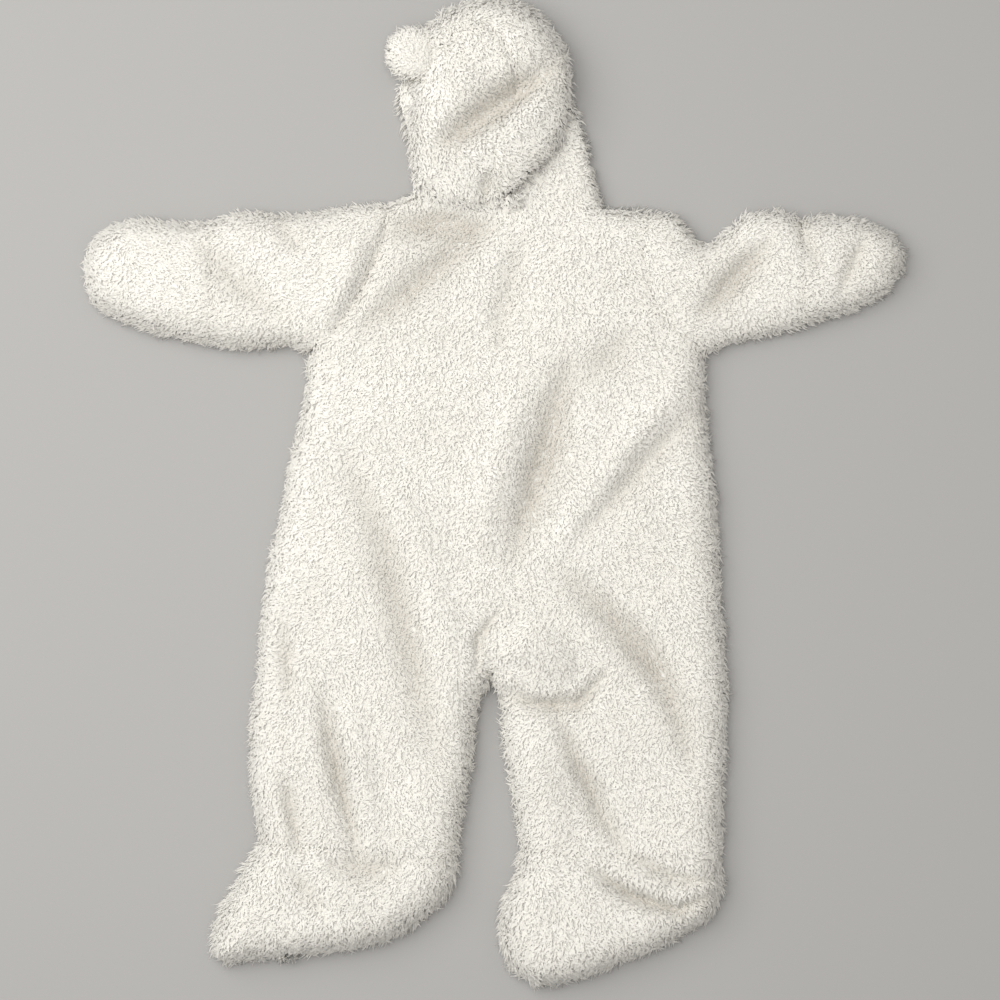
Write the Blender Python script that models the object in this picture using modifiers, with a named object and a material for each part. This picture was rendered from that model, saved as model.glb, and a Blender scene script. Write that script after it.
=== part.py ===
"""Hooded teddy-fleece pramsuit for a newborn, laid face down with its limbs spread.

All tables are in millimetres. +Y runs from the feet to the hood, +X to the wearer's right,
+Z up from the surface that the suit lies on. Every cloth piece is an open surface, the outer
reach of its pile, that Solidify thickens inwards to the full depth of backing and pile.
"""
import math

import bmesh
import bpy
import numpy as np

MM = 0.001
NAME = "hooded_pramsuit"

# Driving dimensions, in millimetres.
WALL = 5.0            # knit backing of 1 and packed pile of 4
SEAM_GAP = 0.3        # between the edges of two sewn pieces
HOOD_SEAM_GAP = 1.0   # the same at the dome's seam, which curves both ways
CROTCH_GAP = 0.5      # more of a gap where the four leg edges meet
CROTCH_HEM = 0.012    # how far above the crotch its extra row lies, in rows of the body's table
CROSS_GAP = 0.36     # each edge's step back from a seam that crosses a hollow
SIDE_SEAM_Z = 8.0     # height of the side seams above the surface
TOP_REACH = 24.0      # how far in from the outline the upper cloth goes on rising
UNDER_REACH = 9.0     # radius that the lower cloth turns up with at the outline
STAND = 2.5           # height of the upright strip of cloth on either side of a side seam
EDGE_STRIP = 1.0      # width of the narrow strip beside any other edge
UPPER_EDGE_STEPS = 3
LOWER_EDGE_STEPS = 2
GROOVE_DEPTH = 1.5    # how deep the pile parts at a seam, and how wide
GROOVE_WIDTH = 5.0
HEM = 0.06            # where the narrow row of faces beside an open edge ends, in rows of its table
ON_EDGE = 0.12        # a point this close to an outline counts as on it, where the cloth starts to rise
ON_LINE = 0.6         # and an edge this close to an outline stands upright
STRIP_LEAN = 0.05     # how far in the top of an upright strip lies
MOST_EDGE = 0.42      # share of a narrow width that one turned edge may take
CREASE_FADE = 0.22    # share of a crease's length over which it fades at either end
HOOD_REACH = 27.0     # the same rise on the hood's upper layer
FLAP_REACH = 12.0     # and on the part of its lower layer that shows
DOME_GROOVE = 1.6     # how much deeper the dome's seam lies than the others

# The body, a row for each section from the neck to the ankles. Above the crotch the two inner
# edges are one line, the middle of the back.
# outer left x, y | inner left x, y | inner right x, y | outer right x, y
BODY_ROWS = (
    (-77, 209, 0, 203, 0, 203, 105, 204),
    (-78, 190, 1, 186, 1, 186, 105, 188),
    (-86, 164, 2, 160, 2, 160, 108, 162),
    (-102, 134, 4, 132, 4, 132, 114, 138),
    (-117, 114, 4, 112, 4, 112, 129, 118.6),
    (-132, 101, 5, 98, 5, 98, 150, 100),
    (-136, 69, 5, 67, 5, 67, 151, 68),
    (-142, 41, 4, 39, 4, 39, 153, 39),
    (-149, 10, 4, 10, 4, 10, 157, 10),
    (-154, -19, 3, -19, 3, -19, 159, -19),
    (-161, -48, 1, -48, 1, -48, 161, -48),
    (-165, -77, -1, -77, -1, -77, 162, -77),
    (-168, -105, -2, -105, -2, -105, 164, -105),
    (-170, -131, -3, -131, -3, -131, 166, -131),
    (-173, -150, -11, -148, 5, -148, 167, -148),
    (-175, -170, -15, -168, 7, -168, 166, -169),
    (-175, -196, -18, -195, 10, -195, 165, -196),
    (-172, -225, -24, -228, 16, -226, 164, -228),
    (-168, -250, -28, -262, 20, -256, 163, -262),
)
UNDERARM_ROW = 5
CROTCH_ROW = 13

# The neckline, from the left end of its seam to the right.
NECKLINE = (
    (-77, 209), (-57, 218), (-44, 213.5), (-26, 207), (-5, 203.5), (36, 203.5), (78, 206), (105, 204),
)

# Sleeves and mitts, a row for each section from the body outwards. The last column says how
# much of the armhole's bend the section has.
# upper x, y | lower x, y | bend
SLEEVE_LEFT = (
    (-77, 209, -132, 101, 1.0),
    (-104, 207, -150, 107, 0.7),
    (-131, 202, -170, 106, 0.4),
    (-157, 201, -184, 105, 0.2),
    (-183, 203, -193, 106, 0),
    (-201, 197, -203, 108, 0),
)
MITT_LEFT = (
    (-201, 197, -203, 108, 0),
    (-218, 194, -219, 111, 0),
    (-236, 196, -237, 115, 0),
    (-255, 197, -254, 120, 0),
    (-270, 194, -270, 126, 0),
    (-282, 188, -281, 132, 0),
    (-290, 179, -289, 140, 0),
    (-295, 166, -294, 152, 0),
)
SLEEVE_RIGHT = (
    (105, 204, 150, 100, 1.0),
    (128, 201, 159, 104, 0.7),
    (150, 180, 168, 108, 0.3),
    (167, 189, 180, 111, 0.1),
    (184, 202, 194, 114, 0),
    (203, 203, 207, 117, 0),
    (221, 198, 221, 121, 0),
)
MITT_RIGHT = (
    (221, 198, 221, 121, 0),
    (237, 199, 236, 126, 0),
    (252, 198, 251, 131, 0),
    (268, 195, 265, 136, 0),
    (280, 190, 277, 142, 0),
    (289, 184, 286, 150, 0),
    (295, 174, 293, 161, 0),
)

# Feet, which both turn their toes to the left, a row for each section from the ankle seam to
# the sole's edge: left x, y | right x, y
FOOT_LEFT = (
    (-168, -250, -28, -262),
    (-178, -268, -29, -273),
    (-188, -285, -34, -285),
    (-196, -299, -43, -297),
    (-200, -312, -58, -309),
    (-202, -323, -80, -321),
    (-201, -331, -112, -328),
    (-194, -337, -152, -332),
)
FOOT_RIGHT = (
    (20, -256, 163, -262),
    (17, -272, 163, -278),
    (9, -290, 160, -293),
    (5, -305, 151, -307),
    (5, -320, 134, -317),
    (9, -334, 112, -329),
    (17, -345, 86, -339),
    (30, -353, 58, -349),
)

# Height of the cloth's upper side where it is not near an edge: x, y, height
HEIGHTS = (
    (0, 210, 18), (50, 205, 18), (-45, 208, 18), (-20, 165, 20),
    (60, 150, 24), (-60, 110, 25), (70, 60, 25), (-80, 20, 25),
    (0, 20, 24), (100, -20, 25), (-100, -80, 27), (100, -110, 25),
    (-100, -180, 26), (85, -190, 26), (-100, -240, 25), (95, -235, 25),
    (-110, -295, 34), (-160, -305, 32), (60, -310, 34), (120, -285, 31),
    (-150, 160, 28), (-230, 155, 30), (-275, 155, 31),
    (170, 150, 24), (220, 160, 27), (265, 165, 28),
)

# Creases in the upper cloth: width, depth (below nought it is a ridge) and the line it follows.
FOLDS = (
    (11, 5, ((-72, 193), (-38, 194), (-4, 190))),
    (11, 5, ((2, 193), (-22, 174), (-46, 158))),
    (9, 3, ((26, 182), (10, 164), (-2, 142))),
    (5, 4, ((-77, 204), (-80, 182), (-96, 146), (-120, 106))),
    (8, -3, ((-92, 190), (-104, 158), (-122, 124))),
    (15, 8, ((47, 92), (36, 40), (24, -6), (10, -50))),
    (14, -4, ((16, 70), (2, 10), (-14, -50))),
    (12, 3, ((98, 116), (84, 100), (68, 80))),
    (10, -4, ((144, 96), (100, 40), (46, -36))),
    (13, 5, ((146, 60), (118, 34), (88, 4))),
    (12, 5, ((-104, 30), (-80, -20), (-64, -76), (-58, -130), (-44, -182), (-36, -206))),
    (11, -3, ((-82, 30), (-54, -30), (-36, -90), (-32, -150))),
    (8, 6, ((-122, -148), (-112, -206), (-100, -262))),
    (8, -3, ((-106, -150), (-94, -200), (-84, -250))),
    (7, 4, ((-148, -208), (-141, -240), (-134, -276))),
    (6, 3, ((-150, -92), (-147, -122), (-144, -156))),
    (13, -6, ((6, -112), (30, -104), (56, -128))),
    (7, 6, ((4, -150), (34, -160), (66, -152), (80, -128))),
    (5, 4, ((-13, -128), (-10, -98), (4, -84))),
    (12, 6, ((44, -48), (84, -82), (118, -124), (136, -166), (128, -206))),
    (10, 6, ((52, -160), (68, -200), (84, -246))),
    (12, -3, ((26, -176), (40, -212), (54, -246))),
    (6, 7, ((64, -270), (96, -296), (130, -304), (156, -298))),
    (6, 6, ((104, -268), (130, -284), (158, -292))),
    (9, 4, ((-114, -262), (-92, -268), (-66, -266))),
    (9, 6, ((192, 174), (174, 154), (154, 134))),
    (6, 3, ((219, 196), (224, 178))),
    (7, 3, ((248, 166), (239, 142))),
    (9, 3, ((-210, 176), (-182, 152), (-150, 126))),
    (7, 2, ((-136, 190), (-124, 176))),
)

# The hood lies on its right side, its face opening to the left. A row for each line across its
# upper layer, from the ear round the crown to the nape: over the left side panel from the face
# edge or neck to the dome's seam, then over the middle panel to the outline and round under it.
# edge x, y | seam x, y | outline x, y | under it, how far in, and at what height
HOOD_ROWS = (
    (-51, 309, -42, 314, -50, 331, 3, 8.6),
    (-53, 304, -34, 324, -39, 341, 3, 8.6),
    (-55, 297, -25, 333, -25, 349, 3, 8.6),
    (-57, 290, -15, 338, -8, 354, 3, 8.6),
    (-58, 283, -5, 335, 12, 353, 3, 8.6),
    (-59, 275, 3, 326, 30, 344, 3, 8.6),
    (-60, 266, 10, 314, 43, 328, 3, 8.6),
    (-60, 257, 15, 304, 51, 311, 4, 10),
    (-60, 248, 16, 293, 54, 295, 5, 14),
    (-59, 240, 14, 283, 53, 276, 7, 17.5),
    (-58, 231, 11, 271, 48, 259, 8, 18),
    (-57, 221, 6, 261, 40, 245, 8, 18.5),
    (-44, 215, 1, 250, 30, 234, 8, 19),
    (-27, 210, -2, 230, 17, 221, 7, 19.5),
    (-13, 208, -5, 209.5, 0, 208.5, 3, 20),
)
# Height of the upper layer's crown, and of its edge: x, y, height
HOOD_HEIGHTS = (
    (-20, 300, 45), (-42, 290, 37), (8, 300, 45), (34, 300, 41), (-30, 250, 38), (0, 330, 42),
    (-30, 325, 38), (4, 240, 38), (30, 262, 39), (-40, 225, 28), (-8, 218, 29),
)
HOOD_EDGE_HEIGHTS = (
    (-57, 219, 13), (-60, 250, 14), (-59, 275, 17), (-56, 295, 21), (-50, 314, 22), (-48, 332, 18),
    (0, 354, 18), (42, 330, 19), (54, 294, 20), (44, 250, 24), (20, 223, 26), (-4, 205, 19),
    (-32, 209, 19),
)
HOOD_FOLDS = (
    (9, 8, ((-38, 250), (-16, 270), (0, 281), (12, 292))),
    (8, 5, ((20, 296), (28, 301), (38, 309))),
    (9, -3, ((-26, 238), (2, 254), (26, 272), (38, 292))),
    (6, 3, ((-4, 232), (-6, 220), (-8, 208))),
)

# The hood's lower layer, a row for each section from the neck to the crown. The flap is what
# turns back over the layer on its right side.
# section's y | left end's x | right end's x | flap's width
HOOD_LOWER_ROWS = (
    (206, -54, 76, 80),
    (219, -57, 74, 74),
    (233, -58, 70, 60),
    (247, -61, 67, 46),
    (258, -64, 64, 34),
    (269, -67, 61, 26),
    (280, -70, 57, 19),
    (292, -71, 51, 12),
    (299, -68, 50, 12),
    (303, -52, 49, 12),
    (316, -47, 46, 12),
    (328, -44, 39, 12),
    (340, -36, 28, 12),
    (347, -24, 17, 12),
    (350.5, -13, 5, 12),
)
FLAP_ROWS = 7         # rows of the lower layer that have the flap
FLAP_TOP = 15.5       # height of the flap's upper side
FLAP_TOP_AT_NECK = 17.2

# Ears: centre x, y, z | half sizes x, y, z | where the base is cut
EAR_LEFT = (-62, 317, 24, 16, 16.5, 8, -52.9)
EAR_RIGHT = (-60, 319, 5.6, 14, 14, 6.6, -49.2)

# The zip up the front, which faces the surface.
ZIP_X = 3.0
ZIP_CHANNEL = 12.0    # between the two fronts' edges
ZIP_TOP_Y = 199.0
ZIP_END_ROW = 11      # the row of the body that the zip ends at
ZIP_END_Y = -76.0
TAPE_WIDTH = 11.4
TAPE_THICK = 1.0
COIL_WIDTH = 4.0
COIL_THICK = 1.2
COIL_INSET = (4.0, 2.0)  # how far the coil stops short of the tape's lower and upper end
SLIDER_Y = 186.0      # the slider stands closed, near the neck
SLIDER_SIZE = (8.0, 11.0, 0.8)
PIVOT_Z = 1.0         # height of the pull tab's axis
LUG_GAP = 3.8         # between the two lugs that hold the pull tab
LUG_SIZE = (1.0, 2.0, 0.7)  # across, along, and below the axis
KNUCKLE_RADIUS = 0.55
TAB_SIZE = (6.0, 24.0, 0.9)
TAB_NECK = (3.0, 2.6)  # where the narrow neck between the lugs ends, and where the tab begins
CLEARANCE = 0.3       # between metal pieces that touch
OVERLAP = 0.2         # how far blocks of one piece reach into each other

PILE = ((0.87, 0.84, 0.79), 0.95, 0.0)
TAPE = ((0.80, 0.77, 0.72), 0.80, 0.0)
NICKEL = ((0.62, 0.61, 0.59), 0.35, 1.0)


def clear_scene():
    for old in list(bpy.data.objects):
        bpy.data.objects.remove(old, do_unlink=True)


def material(name, finish):
    colour, roughness, metallic = finish
    made = bpy.data.materials.new(name)
    made.use_nodes = True
    shader = made.node_tree.nodes["Principled BSDF"]
    shader.inputs["Base Color"].default_value = (*colour, 1.0)
    shader.inputs["Roughness"].default_value = roughness
    shader.inputs["Metallic"].default_value = metallic
    return made


def finish_object(name, mesh, finish, collection):
    made = bpy.data.objects.new(name, mesh)
    mesh.materials.append(material(name, finish))
    collection.objects.link(made)
    return made


def places(table, steps, hem=HEM):
    """Row numbers to take from a table: `steps` to each row, and one close to either end."""
    last = len(table) - 1
    even = np.linspace(0, last, last * steps + 1)
    return even if hem is None else np.sort(np.concatenate([even, [hem, last - hem]]))


def smooth_rows(table, u):
    """The table's columns at the row numbers u, on monotone cubics that never overshoot."""
    rows = np.array(table, float)
    secant = np.diff(rows, axis=0)
    slope = np.zeros_like(rows)
    before, after = secant[:-1], secant[1:]
    same_way = before * after > 0
    total = np.where(same_way, before + after, 1.0)
    slope[1:-1] = np.where(same_way, 2 * before * after / total, 0.0)
    slope[0], slope[-1] = secant[0], secant[-1]
    i = np.minimum(u.astype(int), len(rows) - 2)
    t = (u - i)[:, None]
    return ((1 + 2 * t) * (1 - t) ** 2 * rows[i] + t * (1 - t) ** 2 * slope[i]
            + t * t * (3 - 2 * t) * rows[i + 1] + t * t * (t - 1) * slope[i + 1])


def distance_to(x, y, path):
    """Plan distance from each point to a line of points, and how far along it the nearest point is."""
    path = np.asarray(path, float)
    start, span = path[:-1], np.diff(path, axis=0)
    length = np.hypot(span[:, 0], span[:, 1])
    along = np.concatenate(([0.0], np.cumsum(length)))
    px, py = x[..., None] - start[:, 0], y[..., None] - start[:, 1]
    t = np.clip((px * span[:, 0] + py * span[:, 1]) / length ** 2, 0, 1)
    gap = np.hypot(px - t * span[:, 0], py - t * span[:, 1])
    nearest = gap.argmin(axis=-1)
    pick = np.take_along_axis(t, nearest[..., None], -1)[..., 0]
    reached = (along[nearest] + pick * length[nearest]) / along[-1]
    return gap.min(axis=-1), reached


def spread(x, y, spots):
    """A value known at a few spots, blended by the inverse cube of the softened distance."""
    softening = 12.0
    spots = np.array(spots, float)
    gap = np.hypot(x[..., None] - spots[:, 0], y[..., None] - spots[:, 1]) + softening
    weight = gap ** -3.0
    return (weight * spots[:, 2]).sum(-1) / weight.sum(-1)


def creases(x, y, folds):
    """Depth of all the creases: each a soft trough that fades at both its ends."""
    total = np.zeros_like(x)
    for width, depth, line in folds:
        gap, along = distance_to(x, y, line)
        fade = np.clip(np.minimum(along, 1 - along) / CREASE_FADE, 0, 1)
        total += depth * np.exp(-(gap / width) ** 2) * fade * fade * (3 - 2 * fade)
    return total


def rise(distance, reach):
    """Quarter-ellipse from 0 at an edge to 1 at `reach` in from it."""
    t = np.clip(np.maximum(distance - ON_EDGE, 0) / reach, 0, 1)
    return np.sqrt(1 - (1 - t) ** 2)


def body_rows(u):
    """The body's sections, whose two halves share one middle line down to the crotch."""
    rows = smooth_rows(BODY_ROWS, u)
    middle = (rows[:, 2:4] + rows[:, 4:6]) / 2
    whole = (u <= CROTCH_ROW)[:, None]
    rows[:, 2:4] = np.where(whole, middle, rows[:, 2:4])
    rows[:, 4:6] = np.where(whole, middle, rows[:, 4:6])
    return rows


def outlines():
    """The garment's outline on the plan, as lines that the neck interrupts."""
    fine = 12
    body = body_rows(places(BODY_ROWS, fine, None))
    down = body[UNDERARM_ROW * fine:]
    legs = body[CROTCH_ROW * fine:]
    lines = [down[:, 0:2], legs[:, 2:4], legs[:, 4:6], down[:, 6:8]]
    for rows in (SLEEVE_LEFT, MITT_LEFT, SLEEVE_RIGHT, MITT_RIGHT, FOOT_LEFT, FOOT_RIGHT):
        limb = smooth_rows(rows, places(rows, fine, None))
        lines += [limb[:, 0:2], limb[:, 2:4]]
        if rows in (MITT_LEFT, MITT_RIGHT, FOOT_LEFT, FOOT_RIGHT):
            lines.append(limb[-1, 0:4].reshape(2, 2))
    lines.append(np.array(NECKLINE[:2], float))
    lines.append(np.array(NECKLINE[-2:], float))
    return lines


def armhole(column):
    """The armhole's seam on the plan, from the shoulder to the underarm."""
    fine = 6
    return body_rows(places(BODY_ROWS, fine, None))[:UNDERARM_ROW * fine + 1, column:column + 2]


def edge_distance(x, y, lines):
    return np.min([distance_to(x, y, line)[0] for line in lines], axis=0)


def seam_lines():
    """Lines on the plan of the seams that cross the upper cloth: armholes, wrists and ankles."""
    ends = [rows[0][:4] for rows in (MITT_LEFT, MITT_RIGHT, FOOT_LEFT, FOOT_RIGHT)]
    return [armhole(0), armhole(6)] + [np.array(end, float).reshape(2, 2) for end in ends]


def grooves(x, y, lines):
    """Depth that the pile parts to at the seams, sharp at the stitches."""
    return GROOVE_DEPTH * np.exp(-edge_distance(x, y, lines) / GROOVE_WIDTH)


def upper(x, y):
    """Points of the upper cloth over the plan points, from the top of its upright strip."""
    up = rise(edge_distance(x, y, OUTLINES), TOP_REACH)
    crown = spread(x, y, HEIGHTS) - creases(x, y, FOLDS) - grooves(x, y, SEAM_LINES)
    base = SIDE_SEAM_Z + STAND
    return np.stack([x, y, base + (crown - base) * up], -1)


def lower(x, y, lines):
    """Points of the lower cloth: flat on the surface, turned up at the outline to its upright strip."""
    down = rise(edge_distance(x, y, lines), UNDER_REACH)
    return np.stack([x, y, (SIDE_SEAM_Z - STAND) * (1 - down)], -1)


OUTLINES = outlines()
SEAM_LINES = seam_lines()


def stand_up(points, edge, beside, seam_z, lines):
    """Where an edge line of a grid lies on the outline, the cloth stands upright to the seam."""
    on_line = (edge_distance(points[edge][..., 0], points[edge][..., 1], lines) < ON_LINE)[..., None]
    foot = points[edge].copy()
    inwards = points[beside] - foot
    near = foot + STRIP_LEAN * inwards / np.hypot(inwards[..., :1], inwards[..., 1:2])
    near[..., 2] = foot[..., 2]
    points[beside] = np.where(on_line, near, points[beside])
    foot[..., 2] = seam_z
    points[edge] = np.where(on_line, foot, points[edge])


def edge_steps(reach, count):
    """Distances from an edge at which a quarter-ellipse of that reach turns by equal angles."""
    return reach * (1 - np.cos(np.linspace(0, math.pi / 2, count + 1)))


def fractions(width, reach, edge_count, middle_count, strip=False):
    """Places across a strip of the given width, close together near both of its edges."""
    steps = edge_steps(min(reach, MOST_EDGE * width), edge_count) / width
    if strip:
        steps = np.concatenate([[0, EDGE_STRIP / width], steps[1:]])
    middle = np.linspace(steps[-1], 1 - steps[-1], middle_count + 1)[1:-1]
    return np.concatenate([steps, middle, 1 - steps[::-1]])


def step_back(x, y, edge, beside):
    """Moves the edge row of a plan grid, and the narrow row beside it, off the seam it lies on."""
    chord = np.array([x[edge, -1] - x[edge, 0], y[edge, -1] - y[edge, 0]])
    normal = np.array([-chord[1], chord[0]]) / np.hypot(*chord)
    away = (x.mean() - x[edge].mean()) * normal[0] + (y.mean() - y[edge].mean()) * normal[1]
    step = math.copysign(CROSS_GAP, away) * normal
    for row in (edge, beside):
        x[row] += step[0]
        y[row] += step[1]


def grid_across(rows, reach, edge_count, middle_count, bent):
    """Plan grid between the two ends of each row, which bends as the seam line does that it starts at."""
    xs, ys = [], []
    if bent is not None:
        span = np.hypot(*np.diff(bent, axis=0).T)
        along = np.concatenate([[0.0], np.cumsum(span)]) / span.sum()
    for row in rows:
        ax, ay, bx, by = row[:4]
        s = fractions(math.hypot(bx - ax, by - ay), reach, edge_count, middle_count)
        x = ax + (bx - ax) * s
        y = ay + (by - ay) * s
        if bent is not None:
            x += row[4] * (np.interp(s, along, bent[:, 0]) - bent[0, 0] - (bent[-1, 0] - bent[0, 0]) * s)
            y += row[4] * (np.interp(s, along, bent[:, 1]) - bent[0, 1] - (bent[-1, 1] - bent[0, 1]) * s)
        xs.append(x)
        ys.append(y)
    return np.array(xs), np.array(ys)


def add_grid(bm, points, facing_up):
    """Quads over a grid of points, turned so that most of them face up or down as asked."""
    rows, columns = points.shape[:2]
    corners = [[bm.verts.new(points[r, c] * MM) for c in range(columns)] for r in range(rows)]
    along = points[1:, :-1] - points[:-1, :-1]
    across = points[:-1, 1:] - points[:-1, :-1]
    turned = (np.cross(along, across)[..., 2].sum() > 0) != facing_up
    for r in range(rows - 1):
        for c in range(columns - 1):
            quad = [corners[r][c], corners[r + 1][c], corners[r + 1][c + 1], corners[r][c + 1]]
            bm.faces.new(quad[::-1] if turned else quad)


def cloth(name, grids, collection):
    """A cloth piece: grids joined where they meet, and Solidify inwards."""
    bm = bmesh.new()
    for points, facing_up in grids:
        add_grid(bm, points, facing_up)
    bmesh.ops.remove_doubles(bm, verts=bm.verts, dist=0.00002)
    bmesh.ops.triangulate(bm, faces=bm.faces)
    mesh = bpy.data.meshes.new(name)
    bm.to_mesh(mesh)
    bm.free()
    mesh.shade_smooth()
    made = finish_object(name, mesh, PILE, collection)
    wall = made.modifiers.new("wall", "SOLIDIFY")
    wall.thickness = WALL * MM
    wall.offset = -1.0
    return made


def neck_shift(x):
    """How far the neckline lies above or below the straight line between its two ends."""
    line = np.array(NECKLINE, float)
    straight = np.interp(x, [line[0, 0], 0, line[-1, 0]], [line[0, 1], 203, line[-1, 1]])
    return np.interp(x, line[:, 0], line[:, 1]) - straight


def body_half(places_down, rows, outer, inner, edge_count, middle_count, reach, inner_gap):
    """Plan grid of one half of the body and its leg, from the outline to the middle or inner leg.

    Its columns are close together at the outline, and on the legs at the inner edge too: they
    change over from `split_from` rows above the crotch to `split_over` rows further down.
    """
    split_from, split_over = 2.0, 2.5
    xs, ys = [], []
    top, underarm = np.array(BODY_ROWS[0][outer]), np.array(BODY_ROWS[UNDERARM_ROW][outer])
    chord = (underarm - top) / np.hypot(*(underarm - top))
    inwards = -CROSS_GAP * math.copysign(1, top[0]) * np.array([-chord[1], chord[0]])
    for u, row, gap in zip(places_down, rows, inner_gap):
        (ax, ay), (bx, by) = row[outer], row[inner]
        bx += gap
        width = math.hypot(bx - ax, by - ay)
        dense = fractions(width, reach, edge_count, middle_count, strip=True)
        one_edge = dense[:edge_count + 2]
        even = np.concatenate([one_edge, np.linspace(one_edge[-1], 1, len(dense) - edge_count - 1)[1:]])
        split = min(max((u - CROTCH_ROW + split_from) / split_over, 0), 1)
        s = even + (dense - even) * split
        x = ax + (bx - ax) * s
        y = ay + (by - ay) * s
        y = y + neck_shift(x) * max(0.0, 1 - u / 2.0)
        if u <= UNDERARM_ROW:
            x[:2] += inwards[0]
            y[:2] += inwards[1]
        xs.append(x)
        ys.append(y)
    x, y = np.array(xs), np.array(ys)
    y[:2] -= CROSS_GAP
    y[-2:] += CROSS_GAP
    return x, y


# The columns of BODY_ROWS that hold each edge's x and y.
LEFT_OUT, LEFT_IN, RIGHT_IN, RIGHT_OUT = slice(0, 2), slice(2, 4), slice(4, 6), slice(6, 8)


def stand_at_seams(points, u, seam_z):
    """Both side edges below the underarm, and the shoulder, stand upright to their seams."""
    near_crotch = 0.4
    at_crotch = math.copysign(CROTCH_GAP, seam_z - SIDE_SEAM_Z)
    sides = u >= UNDERARM_ROW
    side_rows = points[sides]
    stand_up(side_rows, (slice(None), 0), (slice(None), 1), seam_z, OUTLINES)
    legs = u[sides] >= CROTCH_ROW
    leg_rows = side_rows[legs]
    stand_up(leg_rows, (slice(None), -1), (slice(None), -2), seam_z, OUTLINES)
    side_rows[legs] = leg_rows
    points[sides] = side_rows
    points[np.abs(u - CROTCH_ROW) < near_crotch, -1, 2] += at_crotch
    stand_up(points, (0,), (1,), seam_z, OUTLINES[-2:])


def back_panel(collection):
    """The whole back and both legs' backs, one piece joined up the middle above the crotch."""
    u = np.sort(np.append(places(BODY_ROWS, 2), CROTCH_ROW - CROTCH_HEM))
    rows = body_rows(u)
    grids = []
    for outer, inner in ((LEFT_OUT, LEFT_IN), (RIGHT_OUT, RIGHT_IN)):
        x, y = body_half(u, rows, outer, inner, UPPER_EDGE_STEPS, 3, TOP_REACH, np.zeros_like(u))
        points = upper(x, y)
        stand_at_seams(points, u, SIDE_SEAM_Z + SEAM_GAP / 2)
        grids.append((points, True))
    return cloth("back_panel", grids, collection)


def fronts(collection):
    """The two fronts under the back, from the zip to the side seams, with the legs' fronts."""
    closed_row = ZIP_END_ROW + 0.25
    u = np.sort(np.append(places(BODY_ROWS, 1), (closed_row, CROTCH_ROW - CROTCH_HEM)))
    rows = body_rows(u)
    above_crotch = u <= CROTCH_ROW
    beside_zip = u <= ZIP_END_ROW
    halves = (("front_left", LEFT_OUT, LEFT_IN, -1), ("front_right", RIGHT_OUT, RIGHT_IN, 1))
    for name, outer, inner, side in halves:
        edge_at = np.where(beside_zip, ZIP_X + side * ZIP_CHANNEL / 2 - rows[:, inner][:, 0],
                           np.where(above_crotch, side * SEAM_GAP / 2, 0))
        x, y = body_half(u, rows, outer, inner, LOWER_EDGE_STEPS, 2, UNDER_REACH, edge_at)
        points = lower(x, y, OUTLINES)
        stand_at_seams(points, u, SIDE_SEAM_Z - SEAM_GAP / 2)
        cloth(name, [(points, False)], collection)


def tube(name, table, collection, closed=False, steps=2, edge_count=2, middle=3, bent=None):
    """A sleeve, mitt or foot: upper and lower cloth in one piece, joined along the outline."""
    rows = smooth_rows(table, places(table, steps))
    seam_z = SIDE_SEAM_Z + STAND
    below = middle if closed else 1
    grids = []
    for above, reach, middle_count in ((True, TOP_REACH, middle), (False, UNDER_REACH, below)):
        x, y = grid_across(rows, reach, edge_count, middle_count, bent)
        step_back(x, y, 0, 1)
        if not closed:
            step_back(x, y, -1, -2)
        points = upper(x, y) if above else lower(x, y, OUTLINES)
        if closed:
            points[-1] = np.linspace(points[-1, 0], points[-1, -1], len(points[-1]))
        if not above:
            points = np.concatenate([points[:, :1], points, points[:, -1:]], 1)
            points[:, (0, -1), 2] = seam_z
            if closed:
                points = np.concatenate([points, points[-1:]])
                points[-1, :, 2] = seam_z
        grids.append((points, above))
    return cloth(name, grids, collection)


def neck_y(x):
    line = np.array(NECKLINE, float)
    return np.interp(x, line[:, 0], line[:, 1])


def hood_outlines():
    rows = smooth_rows(HOOD_ROWS, places(HOOD_ROWS, 12, None))
    return [rows[:, 0:2], rows[:, 4:6], np.array([rows[-1, 0:2], rows[-1, 4:6]])]


def hood_top(x, y):
    """Points of the hood's upper layer over the plan points."""
    edge = spread(x, y, HOOD_EDGE_HEIGHTS)
    rows = smooth_rows(HOOD_ROWS, places(HOOD_ROWS, 12, None))
    crown = spread(x, y, HOOD_HEIGHTS) - creases(x, y, HOOD_FOLDS)
    crown = crown - DOME_GROOVE * grooves(x, y, [rows[:, 2:4]])
    up = rise(edge_distance(x, y, hood_outlines()), HOOD_REACH)
    return np.stack([x, y, edge + (crown - edge) * up], -1)


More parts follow.
